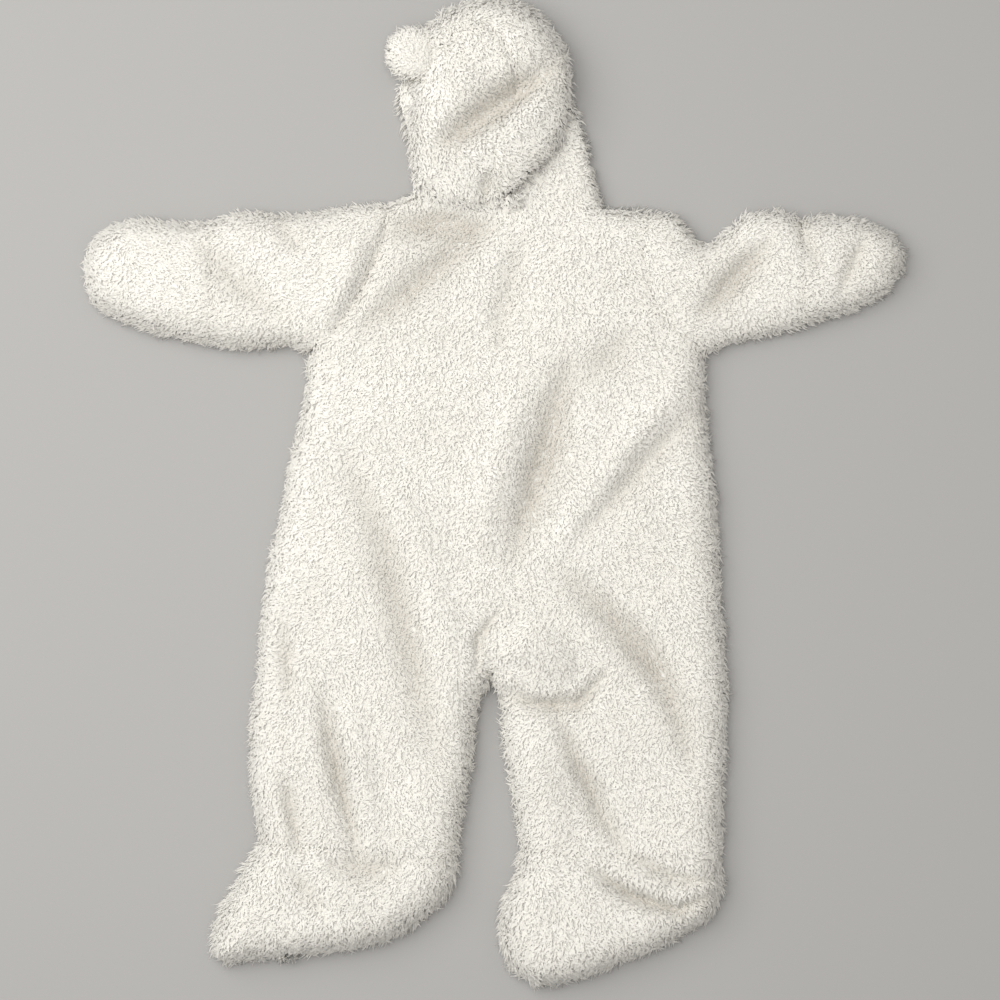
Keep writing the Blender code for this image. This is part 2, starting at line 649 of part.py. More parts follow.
def hood_upper_layer(collection):
    """The left side panel, and the middle panel from the dome's seam round to the lower layer."""
    rows = smooth_rows(HOOD_ROWS, places(HOOD_ROWS, 1))
    face_edge, crown_edge = 0.36, 0.9
    side_s = np.concatenate([edge_steps(face_edge, 3), [0.55, 0.78, 1 - HEM / 2, 1.0]])
    edge, seam, outline = rows[:, 0:2], rows[:, 2:4], rows[:, 4:6]
    across = seam - edge
    step = HOOD_SEAM_GAP * across / np.linalg.norm(across, axis=1, keepdims=True)
    x = edge[:, :1] + (across - step)[:, :1] * side_s
    y = edge[:, 1:] + (across - step)[:, 1:] * side_s
    y[:, 0] += CROSS_GAP
    cloth("hood_side_left", [(hood_top(x, y), True)], collection)

    out = outline - seam
    length = np.linalg.norm(out, axis=1, keepdims=True)
    direction = out / length
    top_s = np.concatenate([[0.0, HEM], 1 - edge_steps(crown_edge, 4)[-2::-1]])
    gap = direction * HOOD_SEAM_GAP
    x = seam[:, :1] + gap[:, :1] + (out - gap)[:, :1] * top_s
    y = seam[:, 1:] + gap[:, 1:] + (out - gap)[:, 1:] * top_s
    over = hood_top(x, y)
    turn = np.linspace(0, math.pi / 2, 4)[1:]
    inset = rows[:, 6:7] * (1 - np.cos(turn))
    level = over[:, -1:, 2]
    drop = level - (level - rows[:, 7:8]) * np.sin(turn)
    under_x = outline[:, :1] - direction[:, :1] * inset
    under_y = outline[:, 1:] - direction[:, 1:] * inset
    under = np.stack([under_x, under_y, drop], -1)
    cloth("hood_middle", [(np.concatenate([over, under], 1), True)], collection)


def hood_lower_layer(collection):
    """The right side panel, flat on the surface, with a flap turned back over at the nape."""
    rows = np.array(HOOD_LOWER_ROWS, float)
    xs, ys = [], []
    for i, (level, left, right, _) in enumerate(rows):
        s = fractions(right - left, UNDER_REACH, LOWER_EDGE_STEPS, 2)
        x = left + (right - left) * s
        at_neck = max(0.0, 1 - i / 2)
        xs.append(x)
        ys.append(level + (neck_y(x) - rows[0, 0]) * at_neck + (CROSS_GAP if i == 0 else 0))
    x, y = np.array(xs), np.array(ys)
    plan = np.stack([x, y], -1)
    under = lower(x, y, [plan[:, 0], plan[:, -1], plan[-1]])
    under = np.concatenate([under[:, :1], under, under[:, -1:]], 1)
    under[:, (0, -1), 2] = SIDE_SEAM_Z
    under = np.concatenate([under, under[-1:]])
    under[-1, :, 2] = SIDE_SEAM_Z

    count = FLAP_ROWS + 1
    flap_width = rows[:count, 3:4]
    turned = FLAP_REACH / flap_width
    s = np.concatenate([edge_steps(FLAP_REACH, 3) / flap_width, turned + (1 - turned) * [0.34, 0.67, 1.0]], 1)
    s[-1] = np.linspace(0, 1, s.shape[1])
    flap_x = x[:count, -1:] - flap_width * s
    at_neck = np.maximum(0.0, 1 - np.arange(count) / 2)[:, None]
    flap_y = rows[:count, :1] + (neck_y(flap_x) - rows[0, 0]) * at_neck
    flap_y[0] += CROSS_GAP
    flap_y[:, 0] = y[:count, -1]
    top = FLAP_TOP + (FLAP_TOP_AT_NECK - FLAP_TOP) * at_neck
    flap_z = SIDE_SEAM_Z + (top - SIDE_SEAM_Z) * rise(x[:count, -1:] - flap_x, FLAP_REACH)
    flap_z[:, 0] = SIDE_SEAM_Z
    flap = np.stack([flap_x, flap_y, flap_z], -1)
    cloth("hood_side_right", [(under, False), (flap, True)], collection)


def ear(name, sizes, collection):
    """A small stuffed ear: a flattened ball, flat where it is sewn to the hood and where it rests."""
    cx, cy, cz, rx, ry, rz, cut_x = sizes
    bm = bmesh.new()
    bmesh.ops.create_icosphere(bm, subdivisions=3, radius=1.0)
    for vertex in bm.verts:
        x, y, z = vertex.co
        place = (min(cx + rx * x, cut_x), cy + ry * y, max(cz + rz * z, 0.0))
        vertex.co = [value * MM for value in place]
    mesh = bpy.data.meshes.new(name)
    bm.to_mesh(mesh)
    bm.free()
    finish_object(name, mesh, PILE, collection)


def add_block(bm, low, high):
    """A box between two corners."""
    centre = [(a + b) / 2 * MM for a, b in zip(low, high)]
    made = bmesh.ops.create_cube(bm, size=1.0)["verts"]
    bmesh.ops.scale(bm, vec=[(b - a) * MM for a, b in zip(low, high)], verts=made)
    bmesh.ops.translate(bm, vec=centre, verts=made)


def knuckle(centre, radius, length):
    """A cylinder along X."""
    bm = bmesh.new()
    made = bmesh.ops.create_cone(bm, cap_ends=True, segments=12, radius1=radius * MM, radius2=radius * MM,
                                 depth=length * MM)["verts"]
    cx, cy, cz = (value * MM for value in centre)
    for vertex in made:
        vertex.co = (vertex.co.z + cx, vertex.co.x + cy, vertex.co.y + cz)
    bmesh.ops.recalc_face_normals(bm, faces=bm.faces)
    return bm


def solid(name, blocks, finish, collection, more=()):
    """Blocks, and any other shapes, joined into one body."""
    shapes = []
    for low, high in blocks:
        bm = bmesh.new()
        add_block(bm, low, high)
        shapes.append(bm)
    objects = []
    for index, bm in enumerate([*shapes, *more]):
        mesh = bpy.data.meshes.new(f"{name}_{index}")
        bm.to_mesh(mesh)
        bm.free()
        objects.append(bpy.data.objects.new(f"{name}_{index}", mesh))
    first = objects[0]
    collection.objects.link(first)
    for other in objects[1:]:
        CUTTERS.objects.link(other)
        other.hide_render = True
        other.display_type = "WIRE"
        join = first.modifiers.new("join", "BOOLEAN")
        join.operation = "UNION"
        join.object = other
    first.name = name
    first.data.materials.append(material(name, finish))


def zip_pieces(collection):
    """Tape with its coil, the slider with two lugs, and the pull tab between them."""
    tape_low = WALL - TAPE_THICK
    coil_low = tape_low - COIL_THICK
    half_tape, half_coil = TAPE_WIDTH / 2, COIL_WIDTH / 2
    from_end, to_end = COIL_INSET
    tape = ((ZIP_X - half_tape, ZIP_END_Y, tape_low), (ZIP_X + half_tape, ZIP_TOP_Y, WALL))
    coil = ((ZIP_X - half_coil, ZIP_END_Y + from_end, coil_low),
            (ZIP_X + half_coil, ZIP_TOP_Y - to_end, tape_low + OVERLAP))
    solid("zip_tape", (tape, coil), TAPE, collection)

    width, length, thick = SLIDER_SIZE
    plate_high = coil_low - CLEARANCE
    plate_low = plate_high - thick
    lug_wide, lug_long, lug_below = LUG_SIZE
    plate = ((ZIP_X - width / 2, SLIDER_Y - length / 2, plate_low),
             (ZIP_X + width / 2, SLIDER_Y + length / 2, plate_high))
    lugs = []
    for side in (-1, 1):
        near = ZIP_X + side * LUG_GAP / 2
        far = near + side * lug_wide
        lugs.append(((min(near, far), SLIDER_Y - lug_long / 2, PIVOT_Z - lug_below),
                     (max(near, far), SLIDER_Y + lug_long / 2, plate_low + OVERLAP)))
    solid("zip_slider", (plate, *lugs), NICKEL, collection)

    tab_width, tab_length, tab_thick = TAB_SIZE
    neck_end, tab_start = TAB_NECK
    neck_half = LUG_GAP / 2 - CLEARANCE
    low, high = PIVOT_Z - tab_thick / 2, PIVOT_Z + tab_thick / 2
    neck = ((ZIP_X - neck_half, SLIDER_Y - neck_end, low), (ZIP_X + neck_half, SLIDER_Y, high))
    tab = ((ZIP_X - tab_width / 2, SLIDER_Y - tab_length, low),
           (ZIP_X + tab_width / 2, SLIDER_Y - tab_start, high))
    round_end = knuckle((ZIP_X, SLIDER_Y, PIVOT_Z), KNUCKLE_RADIUS, neck_half * 2)
    solid("zip_pull", (neck, tab), NICKEL, collection, [round_end])


clear_scene()
pieces = bpy.data.collections.new(NAME)
CUTTERS = bpy.data.collections.new("cutters")
bpy.context.scene.collection.children.link(pieces)
bpy.context.scene.collection.children.link(CUTTERS)

back_panel(pieces)
fronts(pieces)
tube("sleeve_left", SLEEVE_LEFT, pieces, edge_count=3, bent=armhole(0))
tube("mitt_left", MITT_LEFT, pieces, closed=True, steps=1)
tube("sleeve_right", SLEEVE_RIGHT, pieces, edge_count=3, bent=armhole(6))
tube("mitt_right", MITT_RIGHT, pieces, closed=True, steps=1)
tube("foot_left", FOOT_LEFT, pieces, closed=True, steps=1, edge_count=3)
tube("foot_right", FOOT_RIGHT, pieces, closed=True, steps=1, edge_count=3)
hood_upper_layer(pieces)
hood_lower_layer(pieces)
ear("ear_left", EAR_LEFT, pieces)
ear("ear_right", EAR_RIGHT, pieces)
zip_pieces(pieces)
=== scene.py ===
"""Hooded teddy-fleece pramsuit for a newborn, laid face down with its limbs spread.

Lengths are in millimetres until a mesh is made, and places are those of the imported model:
+Y from the feet to the hood, +X to the wearer's right, +Z up from the surface it lies on.
"""

import bmesh
import bpy
import numpy as np
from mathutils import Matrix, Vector


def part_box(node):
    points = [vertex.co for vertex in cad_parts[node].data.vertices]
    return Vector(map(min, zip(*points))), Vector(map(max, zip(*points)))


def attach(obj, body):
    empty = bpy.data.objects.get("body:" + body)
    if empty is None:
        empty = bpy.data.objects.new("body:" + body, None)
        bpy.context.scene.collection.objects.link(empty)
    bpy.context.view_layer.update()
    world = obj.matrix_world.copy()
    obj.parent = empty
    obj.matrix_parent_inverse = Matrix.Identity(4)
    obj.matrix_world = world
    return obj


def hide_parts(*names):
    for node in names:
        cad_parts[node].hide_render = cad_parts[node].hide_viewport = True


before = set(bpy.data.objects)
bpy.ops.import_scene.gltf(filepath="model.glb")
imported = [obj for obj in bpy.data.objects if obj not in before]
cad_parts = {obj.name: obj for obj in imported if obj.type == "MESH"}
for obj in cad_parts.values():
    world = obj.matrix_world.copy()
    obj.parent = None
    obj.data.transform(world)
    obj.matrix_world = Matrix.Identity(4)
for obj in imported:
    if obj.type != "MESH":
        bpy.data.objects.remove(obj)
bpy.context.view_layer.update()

# ---------------------------------------------------------------------------------------------
# Back panel. The whole back with the backs of both legs, cut in one from knitted teddy fleece: a
# thin backing with a long curly pile. Its edges are sewn, right sides together, to the fronts,
# sleeves, feet and hood, so the pile parts a little along each seam.

MM = 0.001
PILE_DEPTH = 2.6      # from the dense ground of the pile to the reach of its tufts
BACKING = 2.0         # thickness of the knit and that ground
CELL = 2.5            # size of a surface's cells
SIDE_SEAM_Z = 8.0     # height of the side seams above the surface
TOP_REACH = 24.0      # how far in from the outline the upper cloth goes on rising
UNDER_REACH = 9.0     # radius that the lower cloth turns up with at the outline
GROOVE_DEPTH = 0.8    # how deep the pile parts at a seam, and how wide
GROOVE_WIDTH = 4.0

# A row for each section from the neck to the ankles.
# outer left x, y | inner left x, y | inner right x, y | outer right x, y
BODY_ROWS = (
    (-77, 209, 0, 203, 0, 203, 105, 204),
    (-78, 190, 1, 186, 1, 186, 105, 188),
    (-86, 164, 2, 160, 2, 160, 108, 162),
    (-102, 134, 4, 132, 4, 132, 114, 138),
    (-117, 114, 4, 112, 4, 112, 129, 118.6),
    (-132, 101, 5, 98, 5, 98, 150, 100),
    (-136, 69, 5, 67, 5, 67, 151, 68),
    (-142, 41, 4, 39, 4, 39, 153, 39),
    (-149, 10, 4, 10, 4, 10, 157, 10),
    (-154, -19, 3, -19, 3, -19, 159, -19),
    (-161, -48, 1, -48, 1, -48, 161, -48),
    (-165, -77, -1, -77, -1, -77, 162, -77),
    (-168, -105, -2, -105, -2, -105, 164, -105),
    (-170, -131, -3, -131, -3, -131, 166, -131),
    (-173, -150, -11, -148, 5, -148, 167, -148),
    (-175, -170, -15, -168, 7, -168, 166, -169),
    (-175, -196, -18, -195, 10, -195, 165, -196),
    (-172, -225, -24, -228, 16, -226, 164, -228),
    (-168, -250, -28, -262, 20, -256, 163, -262),
)
UNDERARM_ROW = 5
CROTCH_ROW = 13
LEFT_OUT, LEFT_IN, RIGHT_IN, RIGHT_OUT = slice(0, 2), slice(2, 4), slice(4, 6), slice(6, 8)

# The neckline, from the left end of its seam to the right.
NECKLINE = np.array([
    (-77, 209), (-57, 218), (-44, 213.5), (-26, 207), (-5, 203.5), (36, 203.5), (78, 206), (105, 204),
])

# Sleeves and mitts, a row for each section from the body outwards. The last column says how
# much of the armhole's bend the section has.
# upper x, y | lower x, y | bend
SLEEVE_LEFT = (
    (-77, 209, -132, 101, 1.0),
    (-104, 207, -150, 107, 0.7),
    (-131, 202, -170, 106, 0.4),
    (-157, 201, -184, 105, 0.2),
    (-183, 203, -193, 106, 0),
    (-201, 197, -203, 108, 0),
)
MITT_LEFT = (
    (-201, 197, -203, 108, 0),
    (-218, 194, -219, 111, 0),
    (-236, 196, -237, 115, 0),
    (-255, 197, -254, 120, 0),
    (-270, 194, -270, 126, 0),
    (-282, 188, -281, 132, 0),
    (-290, 179, -289, 140, 0),
    (-295, 166, -294, 152, 0),
)
SLEEVE_RIGHT = (
    (105, 204, 150, 100, 1.0),
    (128, 201, 159, 104, 0.7),
    (150, 180, 168, 108, 0.3),
    (167, 189, 180, 111, 0.1),
    (184, 202, 194, 114, 0),
    (203, 203, 207, 117, 0),
    (221, 198, 221, 121, 0),
)
MITT_RIGHT = (
    (221, 198, 221, 121, 0),
    (237, 199, 236, 126, 0),
    (252, 198, 251, 131, 0),
    (268, 195, 265, 136, 0),
    (280, 190, 277, 142, 0),
    (289, 184, 286, 150, 0),
    (295, 174, 293, 161, 0),
)

# Feet, which both turn their toes to the left, a row for each section from the ankle seam to
# the sole's edge: left x, y | right x, y | bend
FOOT_LEFT = (
    (-168, -250, -28, -262, 0),
    (-178, -268, -29, -273, 0),
    (-188, -285, -34, -285, 0),
    (-196, -299, -43, -297, 0),
    (-200, -312, -58, -309, 0),
    (-202, -323, -80, -321, 0),
    (-201, -331, -112, -328, 0),
    (-194, -337, -152, -332, 0),
)
FOOT_RIGHT = (
    (20, -256, 163, -262, 0),
    (17, -272, 163, -278, 0),
    (9, -290, 160, -293, 0),
    (5, -305, 151, -307, 0),
    (5, -320, 134, -317, 0),
    (9, -334, 112, -329, 0),
    (17, -345, 86, -339, 0),
    (30, -353, 58, -349, 0),
)

# Height of the cloth's upper side where it is not near an edge: x, y, height
HEIGHTS = (
    (0, 210, 18), (50, 205, 18), (-45, 208, 18), (-20, 165, 20),
    (60, 150, 24), (-60, 110, 25), (70, 60, 25), (-80, 20, 25),
    (0, 20, 24), (100, -20, 25), (-100, -80, 27), (100, -110, 25),
    (-100, -180, 26), (85, -190, 26), (-100, -240, 25), (95, -235, 25),
    (-110, -295, 34), (-160, -305, 32), (60, -310, 34), (120, -285, 31),
    (-150, 160, 28), (-230, 155, 30), (-275, 155, 31),
    (170, 150, 24), (220, 160, 27), (265, 165, 28),
)

# Creases in the upper cloth: width, depth (below nought it is a ridge) and the line it follows.
FOLDS = (
    (13, 6.5, ((-82, 190), (-60, 195), (-30, 196), (4, 190))),
    (12, 5.5, ((6, 200), (-30, 172), (-62, 146), (-100, 114))),
    (10, 3, ((26, 190), (13, 160), (6, 130), (2, 100))),
    (6, 3, ((-77, 204), (-80, 182), (-96, 146), (-120, 106))),
    (8, -3, ((-92, 190), (-104, 158), (-122, 124))),
    (14, 7, ((58, 108), (47, 72), (36, 30), (24, -12), (10, -58))),
    (14, -4, ((20, 84), (2, 20), (-14, -50))),
    (12, 3, ((104, 120), (84, 100), (62, 76))),
    (11, -3.5, ((148, 98), (100, 40), (40, -44))),
    (11, 4, ((152, 68), (118, 34), (86, 0), (54, -38))),
    (14, 4.5, ((-108, 40), (-80, -28), (-64, -90), (-52, -150), (-36, -212))),
    (12, -3, ((-82, 30), (-54, -30), (-36, -90), (-32, -150))),
    (8, 6, ((-126, -132), (-116, -180), (-106, -222), (-96, -268))),
    (8, -3, ((-106, -140), (-94, -200), (-84, -254))),
    (7, 4.5, ((-151, -196), (-144, -226), (-137, -262))),
    (6, 3.5, ((-150, -84), (-147, -118), (-145, -154))),
    (13, -6, ((4, -116), (28, -106), (58, -128))),
    (7, 6, ((0, -136), (28, -150), (60, -150), (86, -122))),
    (5, 4.5, ((-14, -132), (-11, -102), (6, -80))),
    (11, 6, ((38, -46), (80, -82), (112, -120), (134, -164), (142, -206))),
    (8, 5.5, ((42, -148), (60, -190), (76, -226), (98, -262))),
    (12, -3, ((22, -170), (38, -212), (54, -250))),
    (6, 7, ((62, -262), (96, -286), (130, -297), (160, -284))),
    (6, 4.5, ((96, -256), (126, -273), (160, -276))),
    (9, 4.5, ((-120, -262), (-92, -268), (-62, -266))),
    (7, 3, ((-150, -262), (-136, -280), (-118, -300))),
    (11, 6.5, ((202, 186), (180, 164), (160, 142), (142, 124))),
    (6, 3, ((214, 200), (224, 180), (236, 160))),
    (7, 3.5, ((266, 190), (256, 164), (244, 138))),
    (10, 3.5, ((-214, 184), (-184, 154), (-146, 124))),
    (7, 3, ((-160, 204), (-144, 184), (-128, 170))),
)
DEEPER = 1.2          # how much deeper the creases lie than in the solid
CREASE_FADE = 0.5     # share of a crease's length over which it fades at either end
UNEVEN_LENGTH = 48.0  # mean length of the waves, 1 mm or so high, of the cloth between its creases
UNEVEN_SEED = 4


def unit(vectors):
    """Vectors of length one."""
    return vectors / (np.linalg.norm(vectors, axis=-1, keepdims=True) + 1e-9)


def running(steps):
    """Running total of the steps along a line, from nought."""
    return np.concatenate([[0.0], np.cumsum(steps)])


def smooth_rows(table, u):
    """The table's columns at the row numbers u: cubics through the rows that never overshoot,
    since a row's slope is the harmonic mean of its two neighbours' steps, or nought at a turn."""
    rows = np.array(table, float)
    step = np.diff(rows, axis=0)
    slope = np.zeros_like(rows)
    before, after = step[:-1], step[1:]
    same_way = before * after > 0
    total = np.where(same_way, before + after, 1.0)
    slope[1:-1] = np.where(same_way, 2 * before * after / total, 0.0)
    slope[0], slope[-1] = step[0], step[-1]
    i = np.minimum(u.astype(int), len(rows) - 2)
    t = (u - i)[:, None]
    return ((1 + 2 * t) * (1 - t) ** 2 * rows[i] + t * (1 - t) ** 2 * slope[i]
            + t * t * (3 - 2 * t) * rows[i + 1] + t * t * (t - 1) * slope[i + 1])


def body_rows(u):
    """The body's sections, whose two halves share one middle line down to the crotch."""
    rows = smooth_rows(BODY_ROWS, u)
    middle = (rows[:, LEFT_IN] + rows[:, RIGHT_IN]) / 2
    whole = (u <= CROTCH_ROW)[:, None]
    rows[:, LEFT_IN] = np.where(whole, middle, rows[:, LEFT_IN])
    rows[:, RIGHT_IN] = np.where(whole, middle, rows[:, RIGHT_IN])
    return rows


def even_rows(table, cell, closed=False):
    """Row numbers at even steps of about one cell along the middle of a piece, counted along the
    cloth where it turns down to a closed end."""
    fine = np.linspace(0, len(table) - 1, 40 * len(table))
    rows = smooth_rows(table, fine)
    along = running(np.hypot(*np.diff(rows[:, 0:2] + rows[:, 2:4], axis=0).T) / 2)
    q = np.linspace(0, 1, int(np.ceil(along[-1] / cell)) + (6 if closed else 1))
    s = 1 - places_across(along[-1], TOP_REACH, 1 - q, False) if closed else q
    return np.interp(s * along[-1], along, fine)


def distance_to(x, y, path):
    """Plan distance to a line of points, and how far along it, from 0 to 1, the nearest point is."""
    path = np.asarray(path, float)
    start, span = path[:-1], np.diff(path, axis=0)
    length = np.hypot(span[:, 0], span[:, 1])
    along = running(length)
    px, py = x[..., None] - start[:, 0], y[..., None] - start[:, 1]
    t = np.clip((px * span[:, 0] + py * span[:, 1]) / length ** 2, 0, 1)
    gap = np.hypot(px - t * span[:, 0], py - t * span[:, 1])
    nearest = gap.argmin(axis=-1)
    pick = np.take_along_axis(t, nearest[..., None], -1)[..., 0]
    return gap.min(axis=-1), (along[nearest] + pick * length[nearest]) / along[-1]


def edge_distance(x, y, lines):
    """Plan distance to the nearest of several lines."""
    return np.min([distance_to(x, y, line)[0] for line in lines], axis=0)


def spread(x, y, spots):
    """A value known at a few spots, blended by the inverse cube of the softened distance."""
    softening = 12.0
    spots = np.array(spots, float)
    weight = (np.hypot(x[..., None] - spots[:, 0], y[..., None] - spots[:, 1]) + softening) ** -3.0
    return (weight * spots[:, 2]).sum(-1) / weight.sum(-1)


def creases(x, y, folds):
    """Depth of all the creases, each depth * exp(-(distance / width) squared), growing shallower
    and narrower towards its ends."""
    total = np.zeros_like(x)
    for width, depth, line in folds:
        gap, along = distance_to(x, y, line)
        fade = np.clip(np.minimum(along, 1 - along) / CREASE_FADE, 0, 1)
        fade = fade * (2 - fade)
        total += depth * np.exp(-(gap / (width * (0.5 + 0.5 * fade))) ** 2) * fade
    return total


def rise(distance, reach):
    """Quarter-ellipse from 0 at an edge to 1 at `reach` in from it."""
    return np.sqrt(1 - (1 - np.clip(distance / reach, 0, 1)) ** 2)


def armhole(outer):
    """The armhole's seam on the plan, from the shoulder to the underarm."""
    return body_rows(np.linspace(0, UNDERARM_ROW, 31))[:, outer]


def limb_lines(table):
    """The two side edges of a limb, and the line it ends in."""
    rows = smooth_rows(table, np.linspace(0, len(table) - 1, 8 * len(table)))
    return rows[:, 0:2], rows[:, 2:4], rows[-1, 0:4].reshape(2, 2)


def body_lines():
    """Side edges of the body below the arms, the inner edges of the legs, and the shoulders."""
    down = body_rows(np.linspace(UNDERARM_ROW, len(BODY_ROWS) - 1, 90))
    legs = body_rows(np.linspace(CROTCH_ROW, len(BODY_ROWS) - 1, 40))
    return [down[:, LEFT_OUT], down[:, RIGHT_OUT], legs[:, LEFT_IN], legs[:, RIGHT_IN],
            NECKLINE[:2], NECKLINE[-2:]]


CLOSED_LIMBS = (MITT_LEFT, MITT_RIGHT, FOOT_LEFT, FOOT_RIGHT)
OUTLINES = body_lines()
for limb in (SLEEVE_LEFT, SLEEVE_RIGHT):
    OUTLINES += limb_lines(limb)[:2]
for limb in CLOSED_LIMBS:
    OUTLINES += limb_lines(limb)
SEAMS = [armhole(LEFT_OUT), armhole(RIGHT_OUT)]
SEAMS += [np.array(limb[0][:4], float).reshape(2, 2) for limb in CLOSED_LIMBS]


def waves(points, scale, seed):
    """Soft noise from -1 to 1: the mean of five sine waves of about that length, each in its own
    direction."""
    rng = np.random.default_rng(seed)
    directions = rng.normal(size=(5, 3))
    directions /= np.linalg.norm(directions, axis=1, keepdims=True)
    phases = rng.uniform(0, 2 * np.pi, 5)
    lengths = scale * rng.uniform(0.7, 1.5, 5)
    return np.sin(points @ (directions * (2 * np.pi / lengths[:, None])).T + phases).mean(-1) * 1.6


def upper(x, y, share=1.0):
    """The upper cloth over the plan points: the crown's height, less a share of the creases and
    seams and of a soft unevenness, times a quarter-ellipse of the distance from the outline."""
    uneven = waves(np.stack([x, y, 0 * x], -1), UNEVEN_LENGTH, UNEVEN_SEED)
    grooves = GROOVE_DEPTH * np.exp(-edge_distance(x, y, SEAMS) / GROOVE_WIDTH)
    relief = uneven + DEEPER * creases(x, y, FOLDS) + grooves
    crown = spread(x, y, HEIGHTS) - share * relief
    up = rise(edge_distance(x, y, OUTLINES), TOP_REACH)
    return np.stack([x, y, SIDE_SEAM_Z + (crown - SIDE_SEAM_Z) * up], -1)


def lower(x, y, lines):
    """The lower cloth: flat on the surface, and turned up at the outline in a quarter-ellipse."""
    return np.stack([x, y, SIDE_SEAM_Z * (1 - rise(edge_distance(x, y, lines), UNDER_REACH))], -1)


def places_across(width, reach, q, both):
    """Shares of a strip's width for q from 0 to 1, at even steps along a cloth that turns up over
    `reach` at its first edge, or at both."""
    turn = np.minimum(reach, 0.45 * width)
    arc = 1.25 * turn
    total = width + (arc - turn) * (2 if both else 1)
    there, back = q * total, (1 - q) * total
    first = turn * (1 - np.cos(np.clip(there / arc, 0, 1) * np.pi / 2))
    last = turn * (1 - np.cos(np.clip(back / arc, 0, 1) * np.pi / 2))
    d = np.where(there < arc, first, turn + there - arc)
    return np.where((back < arc) & both, width - last, d) / width


def neck_y(x):
    """Where on the plan the neckline lies."""
    return np.interp(x, NECKLINE[:, 0], NECKLINE[:, 1])


def neck_shift(x):
    """How far the neckline lies from the body's first row, which bends once in the middle."""
    first = np.array(BODY_ROWS[0], float).reshape(4, 2)[[0, 1, 3]]
    return neck_y(x) - np.interp(x, first[:, 0], first[:, 1])


def body_half(u, outer, inner, reach, cell, inner_gap=0.0):
    """Plan grid of one half of the body and its leg, from the outline to the middle or inner leg.
    Its columns crowd towards the inner edge too from two rows above the crotch."""
    rows = body_rows(u)
    start, span = rows[:, outer], rows[:, inner] - rows[:, outer]
    span[:, 0] += inner_gap
    width = np.hypot(*span.T)[:, None]
    q = np.linspace(0, 1, int(np.ceil(width.max() / cell)) + 6)[None]
    split = np.clip((u - CROTCH_ROW + 2.0) / 2.5, 0, 1)[:, None]
    s = ((1 - split) * places_across(width, reach, q, False)
         + split * places_across(width, reach, q, True))
    x = start[:, :1] + span[:, :1] * s
    y = start[:, 1:] + span[:, 1:] * s
    return x, y + neck_shift(x) * np.clip(1 - u / 2.0, 0, 1)[:, None]


def facing(grid, up_columns, up=True, closed=False):
    """Unit normals of a grid, crossing its two differences, turned so that the first columns face
    up, or down. A closed grid's last column is followed by its first."""
    around = np.concatenate([grid[:, -1:], grid, grid[:, :1]], 1) if closed else grid
    across = np.gradient(around, axis=1)
    across = across[:, 1:-1] if closed else across
    normal = unit(np.cross(np.gradient(grid, axis=0), across))
    return normal if (normal[:, :up_columns, 2].mean() > 0) == up else -normal


def sunk(reach, plain_out):
    """The knit's outer face: the pile's reach moved in along the normals of the cloth without its
    seams and creases, so that pieces still meet at a seam that lies in a hollow."""
    inner = reach - PILE_DEPTH * plain_out
    inner[..., 2] = np.maximum(inner[..., 2], 0.3)
    return inner


def mesh_of(name, points, faces, finish):
    """An object from arrays of points, in millimetres, and of faces with one number of corners."""
    mesh = bpy.data.meshes.new(name)
    mesh.vertices.add(len(points))
    mesh.vertices.foreach_set("co", (points * MM).astype(np.float32).ravel())
    mesh.loops.add(faces.size)
    mesh.loops.foreach_set("vertex_index", faces.astype(np.int32).ravel())
    mesh.polygons.add(len(faces))
    mesh.polygons.foreach_set("loop_start", np.arange(0, faces.size, faces.shape[1], dtype=np.int32))
    mesh.update(calc_edges=True)
    mesh.shade_smooth()
    mesh.materials.append(finish)
    made = bpy.data.objects.new(name, mesh)
    bpy.context.scene.collection.objects.link(made)
    return made


def quads(rows, columns, closed):
    """Corner numbers of a grid's cells, row by row. A closed grid's last column meets its first."""
    i, j = np.meshgrid(np.arange(rows - 1), np.arange(columns - (0 if closed else 1)), indexing="ij")
    k = (j + 1) % columns
    i, j, k = i.ravel(), j.ravel(), k.ravel()
    here, below = i * columns, (i + 1) * columns
    return np.stack([here + j, below + j, below + k, here + k], 1)


def thinned(count):
    """Every second number below the count, and the last."""
    return np.unique(np.append(np.arange(0, count, 2), count - 1))


WELD = 0.05           # points of a knit closer than this are one


def backing(name, node, sheets, finish, closed=False):
    """The knit of a piece: its grids with every second line kept, joined where they meet and
    thickened inwards. sheets lists (grid, normals)."""
    points, faces, used = [], [], 0
    for grid, normal in sheets:
        pick = np.ix_(thinned(len(grid)), thinned(grid.shape[1]))
        inner = grid[pick]
        cells = quads(*inner.shape[:2], closed)
        flat, out = inner.reshape(-1, 3), normal[pick].reshape(-1, 3)
        a, b, c, d = flat[cells].transpose(1, 0, 2)
        inwards = (np.cross(c - a, d - b) * out[cells[:, 0]]).sum() < 0
        faces.append((cells[:, ::-1] if inwards else cells) + used)
        points.append(flat)
        used += len(flat)
    made = mesh_of(name, np.concatenate(points), np.concatenate(faces), finish)
    joined = bmesh.new()
    joined.from_mesh(made.data)
    bmesh.ops.remove_doubles(joined, verts=joined.verts, dist=WELD * MM)
    joined.to_mesh(made.data)
    joined.free()
    wall = made.modifiers.new("knit", "SOLIDIFY")
    wall.thickness = BACKING * MM
    wall.offset = -1.0
    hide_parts(node)
    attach(made, "suit")
    return made


